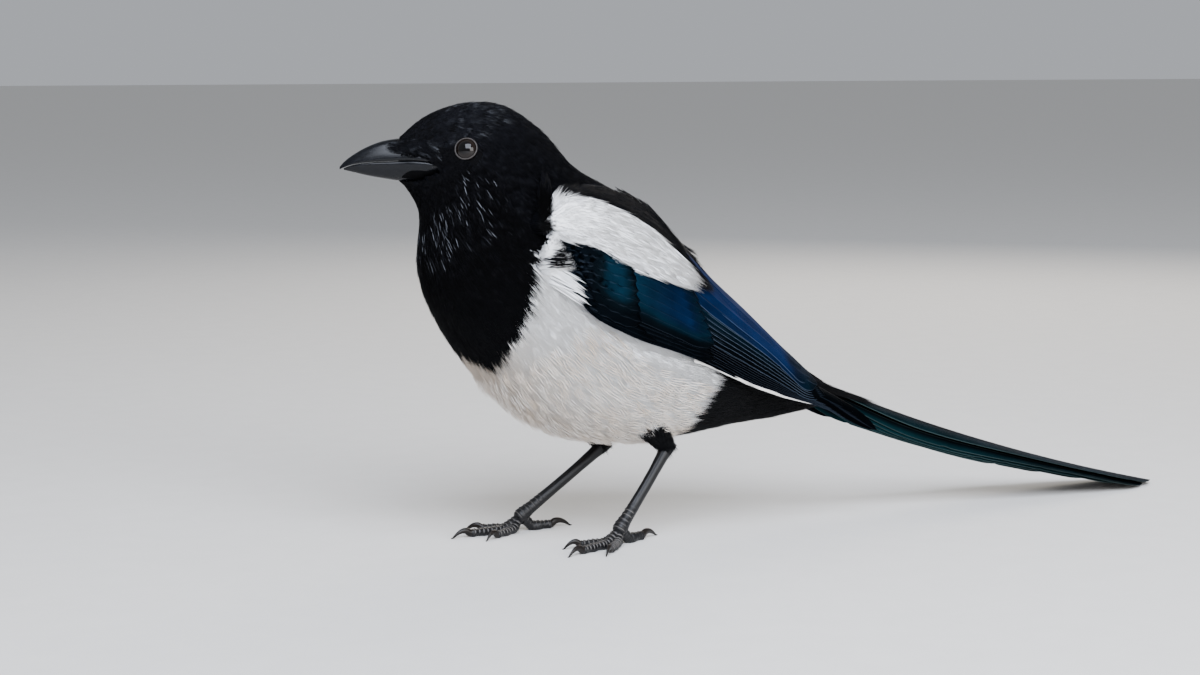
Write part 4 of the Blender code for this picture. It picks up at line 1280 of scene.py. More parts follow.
def wing_vanes(rows, lift, root_lift, layer, mirror, seed, gather, shaft, stations,
               tint=always(0.5), tip_round=0.86, rim=always(1.0), tip_lift=None):
    """Shells of shingled vanes on the wing, each a layer outside the one below it.

    Gather draws the tips together towards the wing's point.
    """
    places = np.array([row[0] for row in rows])
    heights = np.arange(len(rows)) * layer
    end_slope = layer / np.diff(places).mean()

    def level_of(v):
        inner = np.interp(v, places, heights)
        past = np.minimum(v - places[0], 0) + np.maximum(v - places[-1], 0)
        return inner + end_slope * past

    shells = []
    for k, (place, root, tip, half) in enumerate(rows):
        rng = np.random.default_rng(seed + k)
        t = (1 - (1 - np.linspace(0, 1, stations)) ** 1.25)[:, None]
        s = vane_columns(shaft)[None, :]
        outline = vane_outline(t, 0.55, 0.05, tip_round)
        low_rim = worn_edge(rng, t, 1, 0.05)
        high_rim = worn_edge(rng, t, 2, 0.10)
        width = half * outline * np.where(s < 0, 1 + (low_rim - 1) * -s, 1 + (high_rim - 1) * s)
        u = root + (tip - root) * t * (1 - 0.012 * s**2)
        drawn = gather * ease((u - 0.6) / 0.4)
        middle = place + (0.5 - place) * 0.7 * drawn
        v = np.maximum(-0.07, middle + s * width / sheet_width(u))
        level = level_of(v) * (1 - drawn) + (level_of(place) - layer * s * 0.7) * drawn
        rise = root_lift + (lift - root_lift) * ease(t / 0.45)
        if tip_lift is not None:
            rise = rise + (tip_lift - lift) * ease((t - 0.4) / 0.6)
        off = rise + level_of(place) - level + 0.35 * (1 - s**2)
        ridge = 0.22 * np.exp(-(((s - shaft) / 0.05) ** 2)) * (1 - 0.8 * t)
        thick = 0.09 + 0.12 * (1 - s**2)
        top = wing_point(u, v, off + thick / 2 + ridge, mirror)
        bottom = wing_point(u, v, off - thick / 2, mirror)
        across = np.interp(s, (-1, shaft, 1), (0, 0.495, 1)) + 0 * t
        shells.append(sheet_shell(to_row(top), to_row(bottom), {
            "tint": tint(place, u, v, t, s),
            # rim: strength of the painted highlight along rim and shaft
            "rim": rim(place),
            "along": t * (tip - root) * 1.95 + 0 * s,
            "across": across,
            "strip": (k + 0.1 + 0.8 * across) / len(rows),
            "reach": t + 0 * s,
        }))
    return shells


def vane_piece(name, shells, material, slot, *nodes):
    """One piece from vanes, with the vanes' own UV map and a strip for each in the bake's."""
    points, faces, values = join_shells(shells)
    uvs = {
        "OFBake": np.stack([0.01 + 0.98 * values["reach"], values["strip"]], -1),
        "vane": np.stack([values["along"], values["across"]], -1),
    }
    gloss = {"tint": values["tint"], "rim": values["rim"]}
    made = piece(name, points, faces, material, slot, uvs, gloss)
    if nodes:
        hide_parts(*nodes)


def flight_tint(place, u, v, t, s):
    """Gloss of the flight feathers: near black primaries, navy secondaries, deep blue tertials."""
    tone = np.interp(place, (0.2, 0.3, 0.5, 0.6, 0.75, 0.9), (0.10, 0.28, 0.5, 0.8, 1.0, 0.92))
    tone = tone + 0.16 * s * (place < 0.56)
    return np.clip(tone * (1 - 0.6 * ease((t - 0.78) / 0.22)), 0, 1)


def flight_rim_highlight(place):
    """How strong the painted highlight along rims and shafts is, strongest on the secondaries."""
    return np.interp(place, (0.2, 0.3, 0.55, 0.65), (0.3, 0.75, 0.75, 0.5))


def covert_tint(place, u, v, t, s):
    """Gloss of the coverts: black by the bend and below, then teal, then deep blue."""
    blue = ease((v - 0.08) / 0.2)
    tone = 0.08 + 0.37 * blue * ease((u - 0.115) / 0.06) + 0.38 * blue * ease((u - 0.2) / 0.2)
    return np.clip(tone * (1 - 0.5 * ease((t - 0.8) / 0.2)) - 0.15 * ease((s - 0.2) / 0.8), 0, 1)


def dome(a, b, power_a, power_b):
    """1 in the middle of a patch that runs from -1 to 1 both ways, and 0 along its rim."""
    return np.sqrt(np.clip(1 - a**power_a, 0, 1) * np.clip(1 - b**power_b, 0, 1))


def arm_top(u, v):
    """How high the small feathers of the arm stand over the wing's sheet."""
    return 0.3 + 3.2 * dome((u - 0.17) / 0.21, (v - 0.45) / 0.5, 6, 6)


def wing_roots(seed, count, spacing, inside, length, width, root_lift, tip_lift, mirror, tone,
               follow=None):
    """Roots on the wing where inside(u, v) is true. Lifts are functions of u and v."""
    rng = np.random.default_rng(seed)
    u, v = rng.uniform(0, 0.5, count), rng.uniform(-0.05, 1.04, count)
    keep = inside(u, v)
    u, v = u[keep], v[keep]
    keep = thin_out(wing_point(u, v, 3.0), np.full(len(u), spacing))
    u, v = u[keep], v[keep]
    number = len(u)
    reach = rng.uniform(0.85, 1.15, number) * np.interp(u, (0, 0.4), length)
    du = reach / WING_LENGTH
    dv = follow(u, v, du) if follow else rng.normal(0, 0.012, number)
    start = to_row(wing_point(u, v, root_lift(u, v), mirror))
    end = to_row(wing_point(u + du, v + dv, tip_lift(u + du, v + dv), mirror))
    strip = 0.02 if mirror > 0 else 0.52
    return feathers_from(
        start, end, wing_outward(u, v, 4.0, mirror),
        rng.uniform(0.85, 1.15, number) * np.interp(u, (0, 0.4), width),
        np.stack([0.02 + 0.95 * u, strip + 0.45 * np.clip(v, 0, 1)], -1),
        np.clip(rng.normal(tone, 0.1, number), 0, 1),
    )


# Outline of the white shoulder: u, lower edge v, upper edge v
SHOULDER = (
    (0.01, 0.67, 0.76),
    (0.04, 0.60, 0.86),
    (0.075, 0.555, 0.94),
    (0.12, 0.53, 0.935),
    (0.17, 0.495, 0.89),
    (0.23, 0.465, 0.825),
    (0.30, 0.475, 0.765),
    (0.345, 0.50, 0.73),
    (0.38, 0.54, 0.705),
    (0.398, 0.59, 0.66),
)
# The pad under it runs from this u for this share of the wing's length
PAD_START, PAD_LENGTH = 0.016, 0.36


def shoulder_edges(u):
    rows = np.array(SHOULDER)
    return np.interp(u, rows[:, 0], rows[:, 1]), np.interp(u, rows[:, 0], rows[:, 2])


def shoulder_dome(u, v):
    """How full the white shoulder stands at u and v, from 0 to 1."""
    low, high = shoulder_edges(u)
    b = np.clip((v - low) / (high - low), 0, 1)
    a = np.clip((u - PAD_START) / PAD_LENGTH, 0, 1)
    return dome(2 * a - 1, 2 * b - 1, 6, 4)


def past_shoulder(u, v):
    """0 at the white shoulder's upper edge and 1 well past it."""
    return ease((v - shoulder_edges(u)[1]) / 0.18)


def along_shoulder(u, v, du):
    """How v changes over du for a feather that follows the white shoulder's edges."""
    low, high = shoulder_edges(u)
    share = (v - low) / (high - low)
    low, high = shoulder_edges(np.minimum(u + du, 0.393))
    return low + share * (high - low) - v


def laid_over(seed, count, mirror, from_t, from_turn, to_u, to_v, lift, width, tone):
    """Roots on the flank whose feathers reach back over the wing's front edge.

    From_turn and to_v run together: a feather rooted lower down ends lower down.
    """
    rng = np.random.default_rng(seed)
    share = (np.arange(count) + rng.uniform(-0.4, 0.4, count)) / count
    t = from_t[0] + (from_t[1] - from_t[0]) * share + rng.uniform(-0.006, 0.006, count)
    turn = np.radians(from_turn[0] + (from_turn[1] - from_turn[0]) * share) * mirror
    u = rng.uniform(*to_u, count)
    v = to_v[0] + (to_v[1] - to_v[0]) * share + rng.normal(0, 0.012, count)
    start = to_row(body_point(t, turn, 0.9))
    end = to_row(wing_point(u, v, lift + rng.uniform(-0.4, 0.4, count), mirror))
    return feathers_from(
        start, end, wing_outward(u, v, lift, mirror),
        width * rng.uniform(0.8, 1.2, count),
        bake_place(t, np.mod(turn / (2 * math.pi), 1)),
        np.clip(rng.normal(tone, 0.08, count), 0, 1),
    )


# Feathers that cross the wing's bend. Of each: name, kind, count, from t, from turn, to u, to v,
# lift, width, tone, and whether it is white
BEND = (
    ("bend_feathers", "plume", 130, (0.448, 0.464), (76, 91), (0.012, 0.04), (0.57, 0.28),
     4.6, 2.4, 0.75, 1),
    ("barred_tuft", "plume", 80, (0.464, 0.480), (87, 98), (0.04, 0.066), (0.31, 0.13),
     4.8, 1.1, 0.6, 1),
    ("dark_bars", "lance", 40, (0.458, 0.476), (86, 95), (0.042, 0.060), (0.34, 0.17),
     7.0, 0.42, 0.1, 0),
    ("flank_streamers", "lance", 32, (0.466, 0.496), (90, 99), (0.075, 0.12), (0.13, -0.02),
     7.2, 0.5, 0.8, 1),
    ("collar", "plume", 260, (0.375, 0.425), (44, 80), (0.018, 0.036), (1.04, 0.58),
     6.0, 2.6, 0.1, 0),
)


def dress_bend(side, mirror, seed):
    """Loose flank feathers over the wing's bend, and black neck feathers over the white shoulder."""
    for k, (name, kind, count, *places, white) in enumerate(BEND):
        roots = laid_over(seed + k, count, mirror, *places)
        material, slot = (WHITE, "white") if white else (BLACK, "black")
        unevenness = 0.05 if name == "collar" else 0.03
        lay_coat(f"{side}_{name}", roots, kind, material, seed + k, unevenness)


def dress_arm(side, mirror):
    """The solid arm under the coverts, feathered black."""
    u, v = np.meshgrid(np.linspace(0, 0.80, 60), np.linspace(0, 1, 24), indexing="ij")
    v_low = table(((0, 0.18), (0.06, 0.05), (0.13, 0.0), (0.5, 0.0), (0.8, 0.12)), u)
    v_high = table(((0, 0.70), (0.06, 0.86), (0.13, 0.90), (0.5, 0.93), (0.8, 0.6)), u)
    v = v_low + (v_high - v_low) * v
    top = wing_point(u, v, arm_top(u, v), mirror)
    bottom = wing_point(u, v, -0.9, mirror)
    carried = {"tint": 0.05, "rim": 0.0, "along": u, "across": 0.3}
    points, faces, values = join_shells([sheet_shell(to_row(top), to_row(bottom), carried)])
    uvs = {"vane": np.stack([values["along"], values["across"]], -1)}
    gloss = {"tint": values["tint"], "rim": values["rim"]}
    piece(f"{side}_wing_arm", points, faces, WING_GLOSS, "blue", uvs, gloss)


def dress_shoulder(side, mirror, seed):
    """The white shoulder over its pad, and the black strip between it and the back."""
    a, b = np.meshgrid(np.linspace(0, 1, 40), np.linspace(0, 1, 22), indexing="ij")
    u = PAD_START + PAD_LENGTH * a
    low, high = shoulder_edges(u)
    v = low + 0.02 + (high - low - 0.04) * b
    top = wing_point(u, v, 4.4 + 1.9 * dome(2 * a - 1, 2 * b - 1, 6, 4), mirror)
    bottom = wing_point(u, v, 3.6, mirror)
    shell = sheet_shell(to_row(top), to_row(bottom), {"tone": 0.6, "along": 0.4 * u})
    shell_piece(f"{side}_shoulder_down", [shell], WHITE, "white", f"{side}_scapulars")

    def in_shoulder(u, v):
        low, high = shoulder_edges(u + 0.03)
        return (v > low + 0.02) & (v < high - 0.02) & (u > 0.02) & (u < 0.322)

    def in_strip(u, v):
        return (v > shoulder_edges(u + 0.03)[1] - 0.01) & (u < 0.40) & (u > 0.02)

    white = wing_roots(
        seed + 80, 9000, 1.15, in_shoulder, (8.0, 15.0), (4.4, 5.4),
        lambda u, v: 4.05 + 1.9 * shoulder_dome(u, v),
        lambda u, v: np.maximum(4.65 + 1.9 * shoulder_dome(u, v), 5.6),
        mirror, 0.8, along_shoulder,
    )
    lay_coat(f"{side}_shoulder_feathers", white, "plume", WHITE, seed + 81, 0.015)
    strip = wing_roots(
        seed + 90, 3000, 1.3, in_strip, (8.0, 10.0), (3.0, 3.4),
        lambda u, v: 4.9 - 3.2 * past_shoulder(u, v) - 0.7 * ease((u - 0.30) / 0.12),
        lambda u, v: 6.0 - 3.0 * past_shoulder(u, v) - 1.0 * ease((u - 0.30) / 0.12),
        mirror, 0.3, along_shoulder,
    )
    lay_coat(f"{side}_mantle_edge", strip, "plume", BLACK, seed + 91, 0.08)


def dress_wing(side, mirror, seed):
    """One folded wing, its coverts and the white shoulder feathers."""
    dress_arm(side, mirror)
    flight = wing_vanes(
        FLIGHT, 1.9, 1.6, 0.36, mirror, seed, 1.0, -0.35, 70, flight_tint, 0.86, flight_rim_highlight
    )
    vane_piece(f"{side}_flight_feathers", flight, WING_GLOSS, "blue", f"{side}_wing")
    for name, rows, lift, low, tip in (
        ("primary_coverts", PRIMARY_COVERTS, 3.4, 2.2, 2.8),
        ("greater_coverts", GREATER_COVERTS, 4.1, 2.6, 3.0),
        ("median_coverts", MEDIAN_COVERTS, 5.0, 3.0, 4.7),
        ("alula", ALULA, 4.4, 3.2, 3.8),
    ):
        # The coverts carry a faint painted highlight along rim and shaft
        shells = wing_vanes(
            rows, lift, low, 0.36, mirror, seed + 40, 0.0, -0.2, 30, covert_tint, 0.8, always(0.14), tip
        )
        vane_piece(f"{side}_{name}", shells, WING_GLOSS, "blue")
    webs = wing_vanes(WHITE_WEBS, 2.1, 1.0, 0.3, mirror, seed + 60, 0.86, -0.35, 50)
    vane_piece(f"{side}_white_webs", webs, WHITE_VANE, "white")

    def by_bend(u, v):
        return (u < 0.085) & (v > table(((0, 0.22), (0.03, 0.10), (0.1, 0.02)), u)) & (v < 0.66)

    lesser = wing_roots(
        seed + 70, 6000, 0.95, by_bend, (6.0, 8.0), (2.8, 3.4),
        lambda u, v: arm_top(u, v) - 0.2,
        lambda u, v: np.maximum(arm_top(u, v), 3.4) + 0.7,
        mirror, 0.25,
    )
    lay_coat(f"{side}_lesser_coverts", lesser, "plume", BLACK, seed + 71, 0.05)
    dress_shoulder(side, mirror, seed)


# ---- Tail


def tail_point(t, across, depth):
    """Points of the arched tail: across is measured round the arch, depth down into it."""
    a, b = math.radians(TAIL_ROOT_SLOPE), math.radians(TAIL_TIP_SLOPE - TAIL_ROOT_SLOPE)
    slope = a + b * t
    x = TAIL_ROOT[0] + TAIL_LENGTH * (np.sin(slope) - math.sin(a)) / b
    z = TAIL_ROOT[1] + TAIL_LENGTH * (np.cos(slope) - math.cos(a)) / b
    radius = 16.0 + 54.0 * ease((t - 0.35) / 0.65)
    angle = across / radius
    drop = radius - (radius - depth) * np.cos(angle)
    y = (radius - depth) * np.sin(angle)
    return np.stack([x - drop * np.sin(slope), y, z - drop * np.cos(slope)], -1)


# Pairs of tail feathers from the longest: share of the tail's length, middle, half width
TAIL_PAIRS = (
    (1.0, 2.0, 10.5), (0.965, 9.0, 10.0), (0.895, 11.0, 9.6), (0.80, 12.5, 9.2), (0.69, 13.8, 8.8),
    (0.57, 15.0, 8.2),
)


def tail_shell(k, side, seed):
    """One feather of the tail's pair k as a shell, a layer below the pair before it."""
    length, middle, half = TAIL_PAIRS[k]
    layer = 0 if side < 0 and k == 0 else k + 1
    rng = np.random.default_rng(seed)
    t = (1 - (1 - np.linspace(0, 1, 90)) ** 1.3)[:, None]
    shaft = 0.12 if k == 0 else 0.45
    s = vane_columns(shaft)[None, :]
    width = half * vane_outline(t, 0.4, 0.04, 0.9)
    low_rim, high_rim = worn_edge(rng, t, 3, 0.08), worn_edge(rng, t, 3, 0.08)
    width = width * np.where(s < 0, 1 + (low_rim - 1) * -s, 1 + (high_rim - 1) * s)
    centre = middle * (0.5 + 0.5 * ease(t / 0.35)) * (1 - 0.3 * t)
    across = side * (centre + s * width)
    if layer > 1:
        across = side * np.maximum(side * across, 0.2)
    reach = t * length * (1 - 0.010 * s**2)
    ridge = 0.28 * np.exp(-(((s - shaft) / 0.045) ** 2)) * (1 - 0.75 * t)
    thick = 0.10 + 0.14 * (1 - s**2)
    depth = 1.2 + layer * 0.84 - 0.3 * (1 - s**2)
    top = tail_point(reach, across, depth - thick / 2 - ridge)
    bottom = tail_point(reach, across, depth + thick / 2)
    place = np.interp(s, (-1, shaft, 1), (1, 0.495, 0)) + 0 * t
    # Gloss is strongest on the outer web, towards the rim
    outer = 0.58 * ease((s - shaft + 0.1) / 0.5) * (1 - 0.5 * ease((t - 0.8) / 0.2))
    return sheet_shell(to_row(top), to_row(bottom), {
        "tint": 0.22 + outer - 0.18 * ease((0.2 - s) / 0.6),
        # The painted highlight along rim and shaft at full strength
        "rim": 1.0,
        "along": t * length * 0.01 * TAIL_LENGTH + 0 * s,
        "across": place,
        "strip": (k * 2 + (side > 0) + 0.1 + 0.8 * place) / (2 * len(TAIL_PAIRS)),
        "reach": t + 0 * s,
    })


def dress_tail():
    """Twelve graduated tail feathers and the coverts over their roots."""
    pairs = range(len(TAIL_PAIRS))
    shells = [tail_shell(k, side, 300 + k * 2 + side) for k in pairs for side in (-1, 1)]
    vane_piece("tail_feathers", shells, TAIL_GLOSS, "tail", "tail")
    rng = np.random.default_rng(9)
    count = 900
    t = rng.uniform(-0.03, 0.12, count)
    across = rng.uniform(-9.5, 9.5, count) * (1 - t * 2.5)
    keep = thin_out(tail_point(t, across, 0), np.full(count, 1.5))
    t, across = t[keep], across[keep]
    reach = rng.uniform(0.10, 0.15, len(t))
    start = to_row(tail_point(t, across, 2.0 - 6 * t))
    end = to_row(tail_point(t + reach, across * 0.94, rng.uniform(0.0, 0.7, len(t))))
    out = unit(to_row(tail_point(t, across, -1.0)) - to_row(tail_point(t, across, 1.0)))
    coverts = feathers_from(
        start, end, out,
        rng.uniform(4.0, 5.0, len(t)),
        np.stack([0.83 + 0.5 * t, 0.9 + across * 0.005], -1),
        rng.uniform(0.1, 0.3, len(t)),
    )
    lay_coat("upper_tail_coverts", coverts, "plume", BLACK, 31, 0.04)


# ---- Bill, nostril bristles, eyes and lids


def bill_shell(rows, count=70, arch=27, flat=7):
    """One half of the bill: an arch over its cutting edge or below it, and its flat side."""
    share = np.linspace(0, 1, count) ** 0.9
    x, edge, outer, half = np.moveaxis(through(rows, share), -1, 0)
    turn = np.linspace(0, math.pi, arch)
    rise = np.sin(turn) ** 0.85
    y = half[:, None] * np.cos(turn) * (1 - 0.12 * np.sin(2 * turn) ** 2)
    z = edge[:, None] + (outer - edge)[:, None] * rise
    # A shallow groove runs over the cutting edge, and the ridge is drawn to a blunt keel
    groove = 0.16 * np.exp(-(((rise - 0.24) / 0.09) ** 2)) * ease((0.85 - share) / 0.3)[:, None]
    y = y - np.sign(np.cos(turn)) * groove
    back = np.linspace(-1, 1, flat + 2)[1:-1]
    y = np.concatenate([y, half[:, None] * back * 0.98], 1)
    sunk = np.sign(outer - edge)[:, None] * 0.25 * (1 - back**2)
    z = np.concatenate([z, edge[:, None] + sunk], 1)
    rings = np.stack([np.broadcast_to(x[:, None], y.shape), y, z], -1)
    return tube_shell(to_row(rings), {})


def nostril_bristles():
    """Stiff forward bristles from the forehead's corners, laid over the nostrils."""
    sets = []
    for side in (1, -1):
        rng = np.random.default_rng(41 if side > 0 else 42)
        count = 900
        x = rng.uniform(-94.0, -72.0, count)
        over = table(OVER_BILL, x)
        crown = np.interp(x, (-88, -80, -72), (178.6, 178.6, 177.0))
        z = over + rng.uniform(0.2, 1.0, count) * (crown - over)
        keep = thin_out(np.stack([x, z, 0 * x], -1), np.full(count, 0.62))
        x, z, over = x[keep], z[keep], over[keep]
        reach = rng.uniform(4.0, 9.0, len(x))
        x_tip = np.maximum(x - reach, rng.uniform(-99.0, -96.0, len(x)))
        share = np.clip((z - over) / 7.0, 0, 1)
        over_tip = np.interp(x_tip, (-99, -95, -92), (174.0, 172.0, 171.6)) + 0.3
        top_tip = np.interp(x_tip, (-99, -91, -84), (176.9, 178.4, 178.4))
        z_tip = over_tip + 0.2 + (top_tip - over_tip) * share
        y = np.maximum(bill_side(x, z), body_half_width(x, z) - 0.6) - 0.1
        y_tip = bill_side(x_tip, z_tip) + rng.uniform(0.25, 0.9, len(x))
        y_tip = np.maximum(y_tip, body_half_width(x_tip, z_tip) * 0.9)
        start = to_row(np.stack([x, -side * y, z], -1))
        end = to_row(np.stack([x_tip, -side * y_tip, z_tip], -1))
        out = unit(to_row(np.stack([x, -side * (y + 1), z + 0.3], -1)) - start)
        sets.append(feathers_from(
            start, end, out,
            rng.uniform(1.0, 1.5, len(x)),
            np.stack([0.01 + 0 * x, 0.4 + 0.1 * side + 0 * x], -1),
            np.clip(rng.normal(0.45, 0.2, len(x)), 0, 0.9),
        ))
    both = {key: np.concatenate([sets[0][key], sets[1][key]]) for key in sets[0]}
    lay_coat("nostril_bristles", both, "hair", BLACK, 43, 0.06)


def eye_piece(side, mirror):
    """One eyeball with its clear bulge, its UV map running from the pupil outwards."""
    centre, out, ahead, rise = eye_frame(mirror)
    polar = np.linspace(0.02, math.pi * 0.75, 34)[:, None]
    turn = np.linspace(0, 2 * math.pi, 49)[None, :-1]
    bulge = EYE_RADIUS + 0.12 * np.exp(-((polar / 0.5) ** 2))
    spoke = ahead * np.cos(turn)[..., None] + rise * np.sin(turn)[..., None]
    away, up = (bulge * np.sin(polar))[..., None], (bulge * np.cos(polar))[..., None]
    rings = centre + spoke * away + out * up
    shell = tube_shell(to_row(rings), {"polar": polar / math.pi + 0 * turn})
    points, faces, values = join_shells([shell])
    uvs = {"vane": np.stack([values["polar"], values["polar"]], -1)}
    made = piece(f"{side}_eyeball", points, faces, WET_EYE, "eye", uvs)
    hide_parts(f"{side}_eye")


def lid_piece(side, mirror):
    """The bare rim of both lids round one eye, pimpled."""
    centre, out, ahead, rise = eye_frame(mirror)
    reach, thick, level, bumps = 4.72, 0.33, 2.85, 46
    turn = np.linspace(0, 2 * math.pi, 145)[:-1][:, None]
    ring = np.linspace(0, 2 * math.pi, 13)[:-1][None, :]
    size = thick * (1 + 0.05 * np.cos(bumps * turn))
    away = reach * (1 + 0.02 * np.cos(2 * turn)) + size * np.cos(ring)
    up = level + size * np.sin(ring)
    spoke = ahead * np.cos(turn)[..., None] + rise * np.sin(turn)[..., None]
    points = centre + spoke * away[..., None] + out * up[..., None]
    at = np.arange(points.shape[0] * points.shape[1]).reshape(points.shape[:2])
    right, above = np.roll(at, -1, 1), np.roll(at, -1, 0)
    faces = np.stack([at, right, np.roll(above, -1, 1), above], -1).reshape(-1, 4)
    shell = (to_row(points).reshape(-1, 3), faces, {})
    shell_piece(f"{side}_lids", [shell], LID_SKIN, "lid", f"{side}_eyelid")


# ---- Feet

# Shank from heel to foot, share of its length and radius, then the ball of the foot from above
SHANK = (
    (0.0, 3.4), (0.06, 3.0), (0.12, 2.75), (0.3, 2.5), (0.6, 2.45), (0.75, 2.55), (0.9, 2.75),
    (1.05, 3.0),
)
BALL = ((0, 2.7), (0.2, 3.0), (0.6, 3.4), (0.85, 3.1), (1, 1.6))


def saw(s, pitch):
    """Height and crease of overlapping scales along s, each with a raised lower end."""
    part = np.mod(s / pitch, 1.0)
    crease = np.exp(-((np.minimum(part, 1 - part) / 0.1) ** 2))
    return np.minimum(part**1.4, (1 - part) / 0.12) - 0.4, crease


def toe_path(base, direction, length, t):
    """The middle of a toe, from the ball of the foot down to the floor."""
    z = 1.75 + (base[2] - 3.2) * (1 - ease(t / 0.45)) ** 1.2
    return np.stack([base[0] + direction[0] * length * t, base[1] + direction[1] * length * t, z], -1)


def scaled_limb(path, radius, pitch, depth, pads=0, sides=30, rings_from=-1.0):
    """A limb with overlapping scales over its top and front and pads under it."""
    steps = np.linalg.norm(np.diff(path, axis=0), axis=1)
    length = np.concatenate([[0], np.cumsum(steps)])[:, None]
    turn = np.linspace(0, 2 * math.pi, sides + 1)[:-1][None, :]
    height, crease = saw(length, pitch)
    upper = ease((np.sin(turn) + 0.35) / 0.5)
    small, small_crease = saw(length + 0.4 * np.cos(turn), pitch * 0.45)
    ringed = ease((length / length[-1] - rings_from) / 0.08)
    plates = np.exp(-(((np.mod(turn + 0.5, 2 * math.pi / 3) - 0.5) / 0.12) ** 2)) * (1 - ringed)
    scales = ringed * (depth * height * upper + depth * 0.4 * small * (1 - upper))
    size = radius[:, None] + scales - 0.16 * plates
    if pads:
        wave = np.cos(2 * math.pi * pads * length / length[-1])
        size = size + 0.16 * wave * (1 - upper) - 0.05 * wave * upper
    dark = ringed * (crease * upper + 0.6 * small_crease * (1 - upper)) + 0.5 * plates
    return tube_shell(to_row(rings_round(path, size, sides)), {"crease": dark + 0 * turn})


def leg_pieces(side):
    """Shank, toes and claws of one leg, and the feathers of its thigh."""
    heel, base, _ = (np.array(p) for p in LEGS[side])
    sign = 1 if side == "left" else -1
    down = unit(base - heel)
    end = base - down * 3.0
    share = np.linspace(-0.08, 1.08, 150)
    path = heel + down * 0.8 + (end - heel) * share[:, None]
    path = path + np.sin(np.pi * np.clip(share, 0, 1))[:, None] * np.array((0.5, 0, 0))
    shank = scaled_limb(path, table(SHANK, share), 2.4, 0.34, 0, 44, 0.70)
    shell_piece(f"{side}_shank", [shank], LEG_SKIN, "leg", f"{side}_tarsus")
    ball = end + down * np.linspace(-2.5, 6.2, 26)[:, None]
    shells = [scaled_limb(ball, table(BALL, np.linspace(0, 1, 26)), 2.2, 0.4, 0, 30)]
    t = np.linspace(0, 1, 110)
    q = np.linspace(0, 1, 40)
    for toe, angle, length, radius, claw_length in TOES:
        turn = math.radians(LEG_TURN[side] + angle * sign)
        direction = np.array((-math.cos(turn), -math.sin(turn), 0.0))
        path = toe_path(base, direction, length, t)
        joints = max(2, round(length / 7))
        swell = 1 + 0.07 * np.cos(2 * math.pi * joints * t)
        blunt = np.sqrt(np.clip((1.02 - t) / 0.06, 0.3, 1))
        size = 1.1 * radius * (1.05 - 0.25 * t) * swell * blunt
        shells.append(scaled_limb(path, size, 2.1, 0.46, joints, 28))
        rise = 1.7 * np.sin(np.pi * np.minimum(1.0, q * 1.1)) * ease(q / 0.3) - 1.7 * q**2
        claw = path[-1] - direction + direction * ((claw_length + 1.3) * q)[:, None]
        claw = claw + np.stack([0 * q, 0 * q, rise], -1)
        claw[:, 2] = np.maximum(claw[:, 2], 0.25 + 0.3 * (1 - q))
        rings = rings_round(claw, radius * 0.85 * (1 - q) ** 0.85 + 0.14, 18, 0.78)
        rings[..., 2] = np.maximum(rings[..., 2], 0.02)
        nail = tube_shell(to_row(rings), {})
        shell_piece(f"{side}_{toe}_nail", [nail], CLAW_HORN, "horn", f"{side}_{toe}_claw")
    for points, _, _ in shells:
        points[:, 2] = np.maximum(points[:, 2], 0.0)
    shell_piece(f"{side}_toes", shells, LEG_SKIN, "leg", f"{side}_foot")
    trousers = limb_roots(61 + sign, side, 1.1, (7.0, 5.0), 2.6, 0.36, 0.98)
    trousers["tone"] = trousers["tone"] * 0.4
    lay_coat(f"{side}_thigh_feathers", trousers, "plume", BLACK, 63 + sign, 0.12)
    fringe = limb_roots(65 + sign, side, 1.6, (8.0, 6.0), 3.0, 0.05, 0.38)
    lay_coat(f"{side}_fringe_feathers", fringe, "plume", WHITE, 67 + sign, 0.16)


# ---- Put together

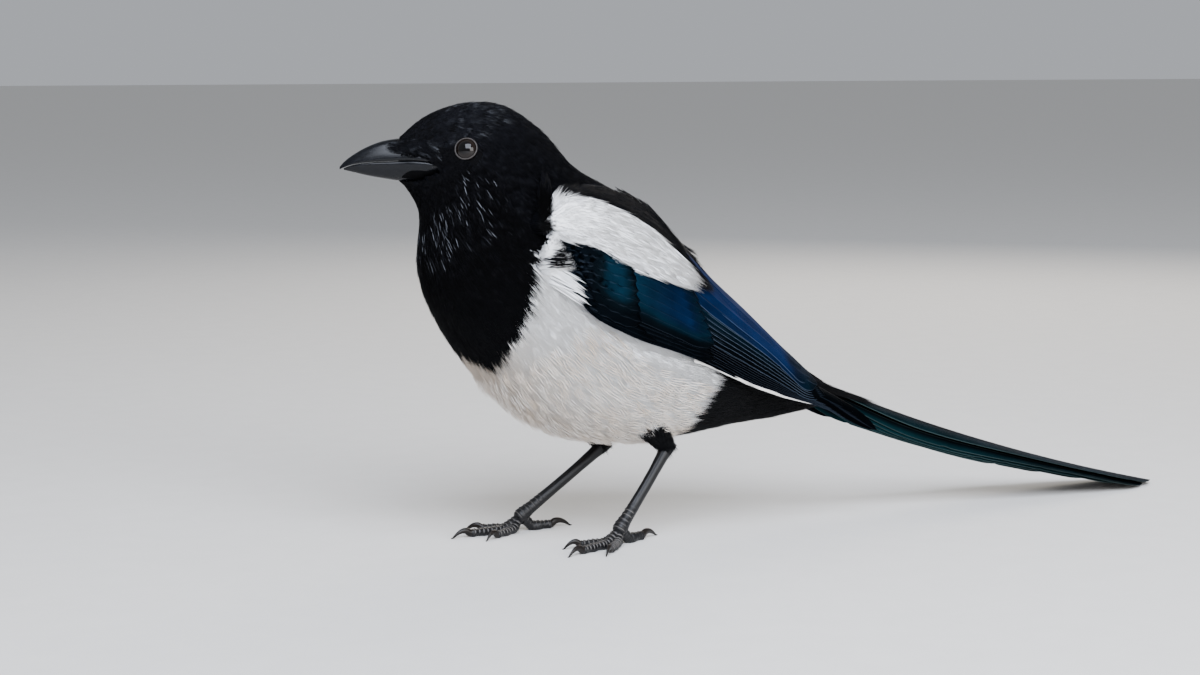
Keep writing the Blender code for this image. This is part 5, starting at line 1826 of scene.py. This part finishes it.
build_skin()
dress_body()
dress_wing("left", 1, 500)
dress_wing("right", -1, 700)
dress_bend("left", 1, 520)
dress_bend("right", -1, 720)
dress_tail()
shell_piece("bill_upper", [bill_shell(UPPER_BILL)], BILL_HORN, "horn", "upper_bill")
shell_piece("bill_lower", [bill_shell(LOWER_BILL)], BILL_HORN, "horn", "lower_bill")
nostril_bristles()
for side, mirror in (("left", 1), ("right", -1)):
    eye_piece(side, mirror)
    lid_piece(side, mirror)
    leg_pieces(side)


# ---- Floor, light and camera


def build_stage():
    """The floor, a pale world and three square lamps."""
    half = 14.0
    mesh = bpy.data.meshes.new("floor")
    corners = [(-half, -half, 0), (half, -half, 0), (half, half, 0), (-half, half, 0)]
    mesh.from_pydata(corners, [], [(0, 1, 2, 3)])
    mesh.materials.append(pale_floor())
    floor = linked("floor", mesh)
    world = bpy.data.worlds.new("studio")
    bpy.context.scene.world = world
    world.use_nodes = True
    background = world.node_tree.nodes["Background"]
    background.inputs["Color"].default_value = linear("#dfe3ea")
    background.inputs["Strength"].default_value = 0.6
    for name, place, size, power, colour in (
        ("sky_panel", (-0.3, -0.85, 1.05), 1.1, 42.0, "#e9f0ff"),
        ("side_panel", (0.35, -1.3, 0.5), 0.8, 15.0, "#ffffff"),
        ("back_panel", (0.7, 0.9, 0.8), 0.8, 9.0, "#fff6ea"),
    ):
        lamp = bpy.data.lights.new(name, "AREA")
        lamp.shape = "SQUARE"
        lamp.size = size
        lamp.energy = power
        lamp.color = linear(colour)[:3]
        obj = linked(name, lamp)
        obj.location = place
        obj.rotation_mode = "QUATERNION"
        aim = Vector((-0.05, 0, 0.1)) - Vector(place)
        obj.rotation_quaternion = aim.to_track_quat("-Z", "Y")


def build_camera():
    """The photograph's view: 24 degrees round from the side, 7 degrees up, about 1 m away."""
    azimuth, rise, distance = math.radians(24), math.radians(7), 1.05
    level = math.cos(rise)
    ahead = Vector((math.sin(azimuth) * level, math.cos(azimuth) * level, -math.sin(rise)))
    data = bpy.data.cameras.new("camera")
    data.sensor_width = 36.0
    data.lens = 2333.0 / 1200.0 * 36.0
    camera = linked("camera", data)
    camera.location = Vector((SHIFT[0], SHIFT[1], 0.089)) - ahead * distance
    camera.rotation_mode = "QUATERNION"
    camera.rotation_quaternion = ahead.to_track_quat("-Z", "Y")
    bpy.context.scene.camera = camera


build_stage()
build_camera()
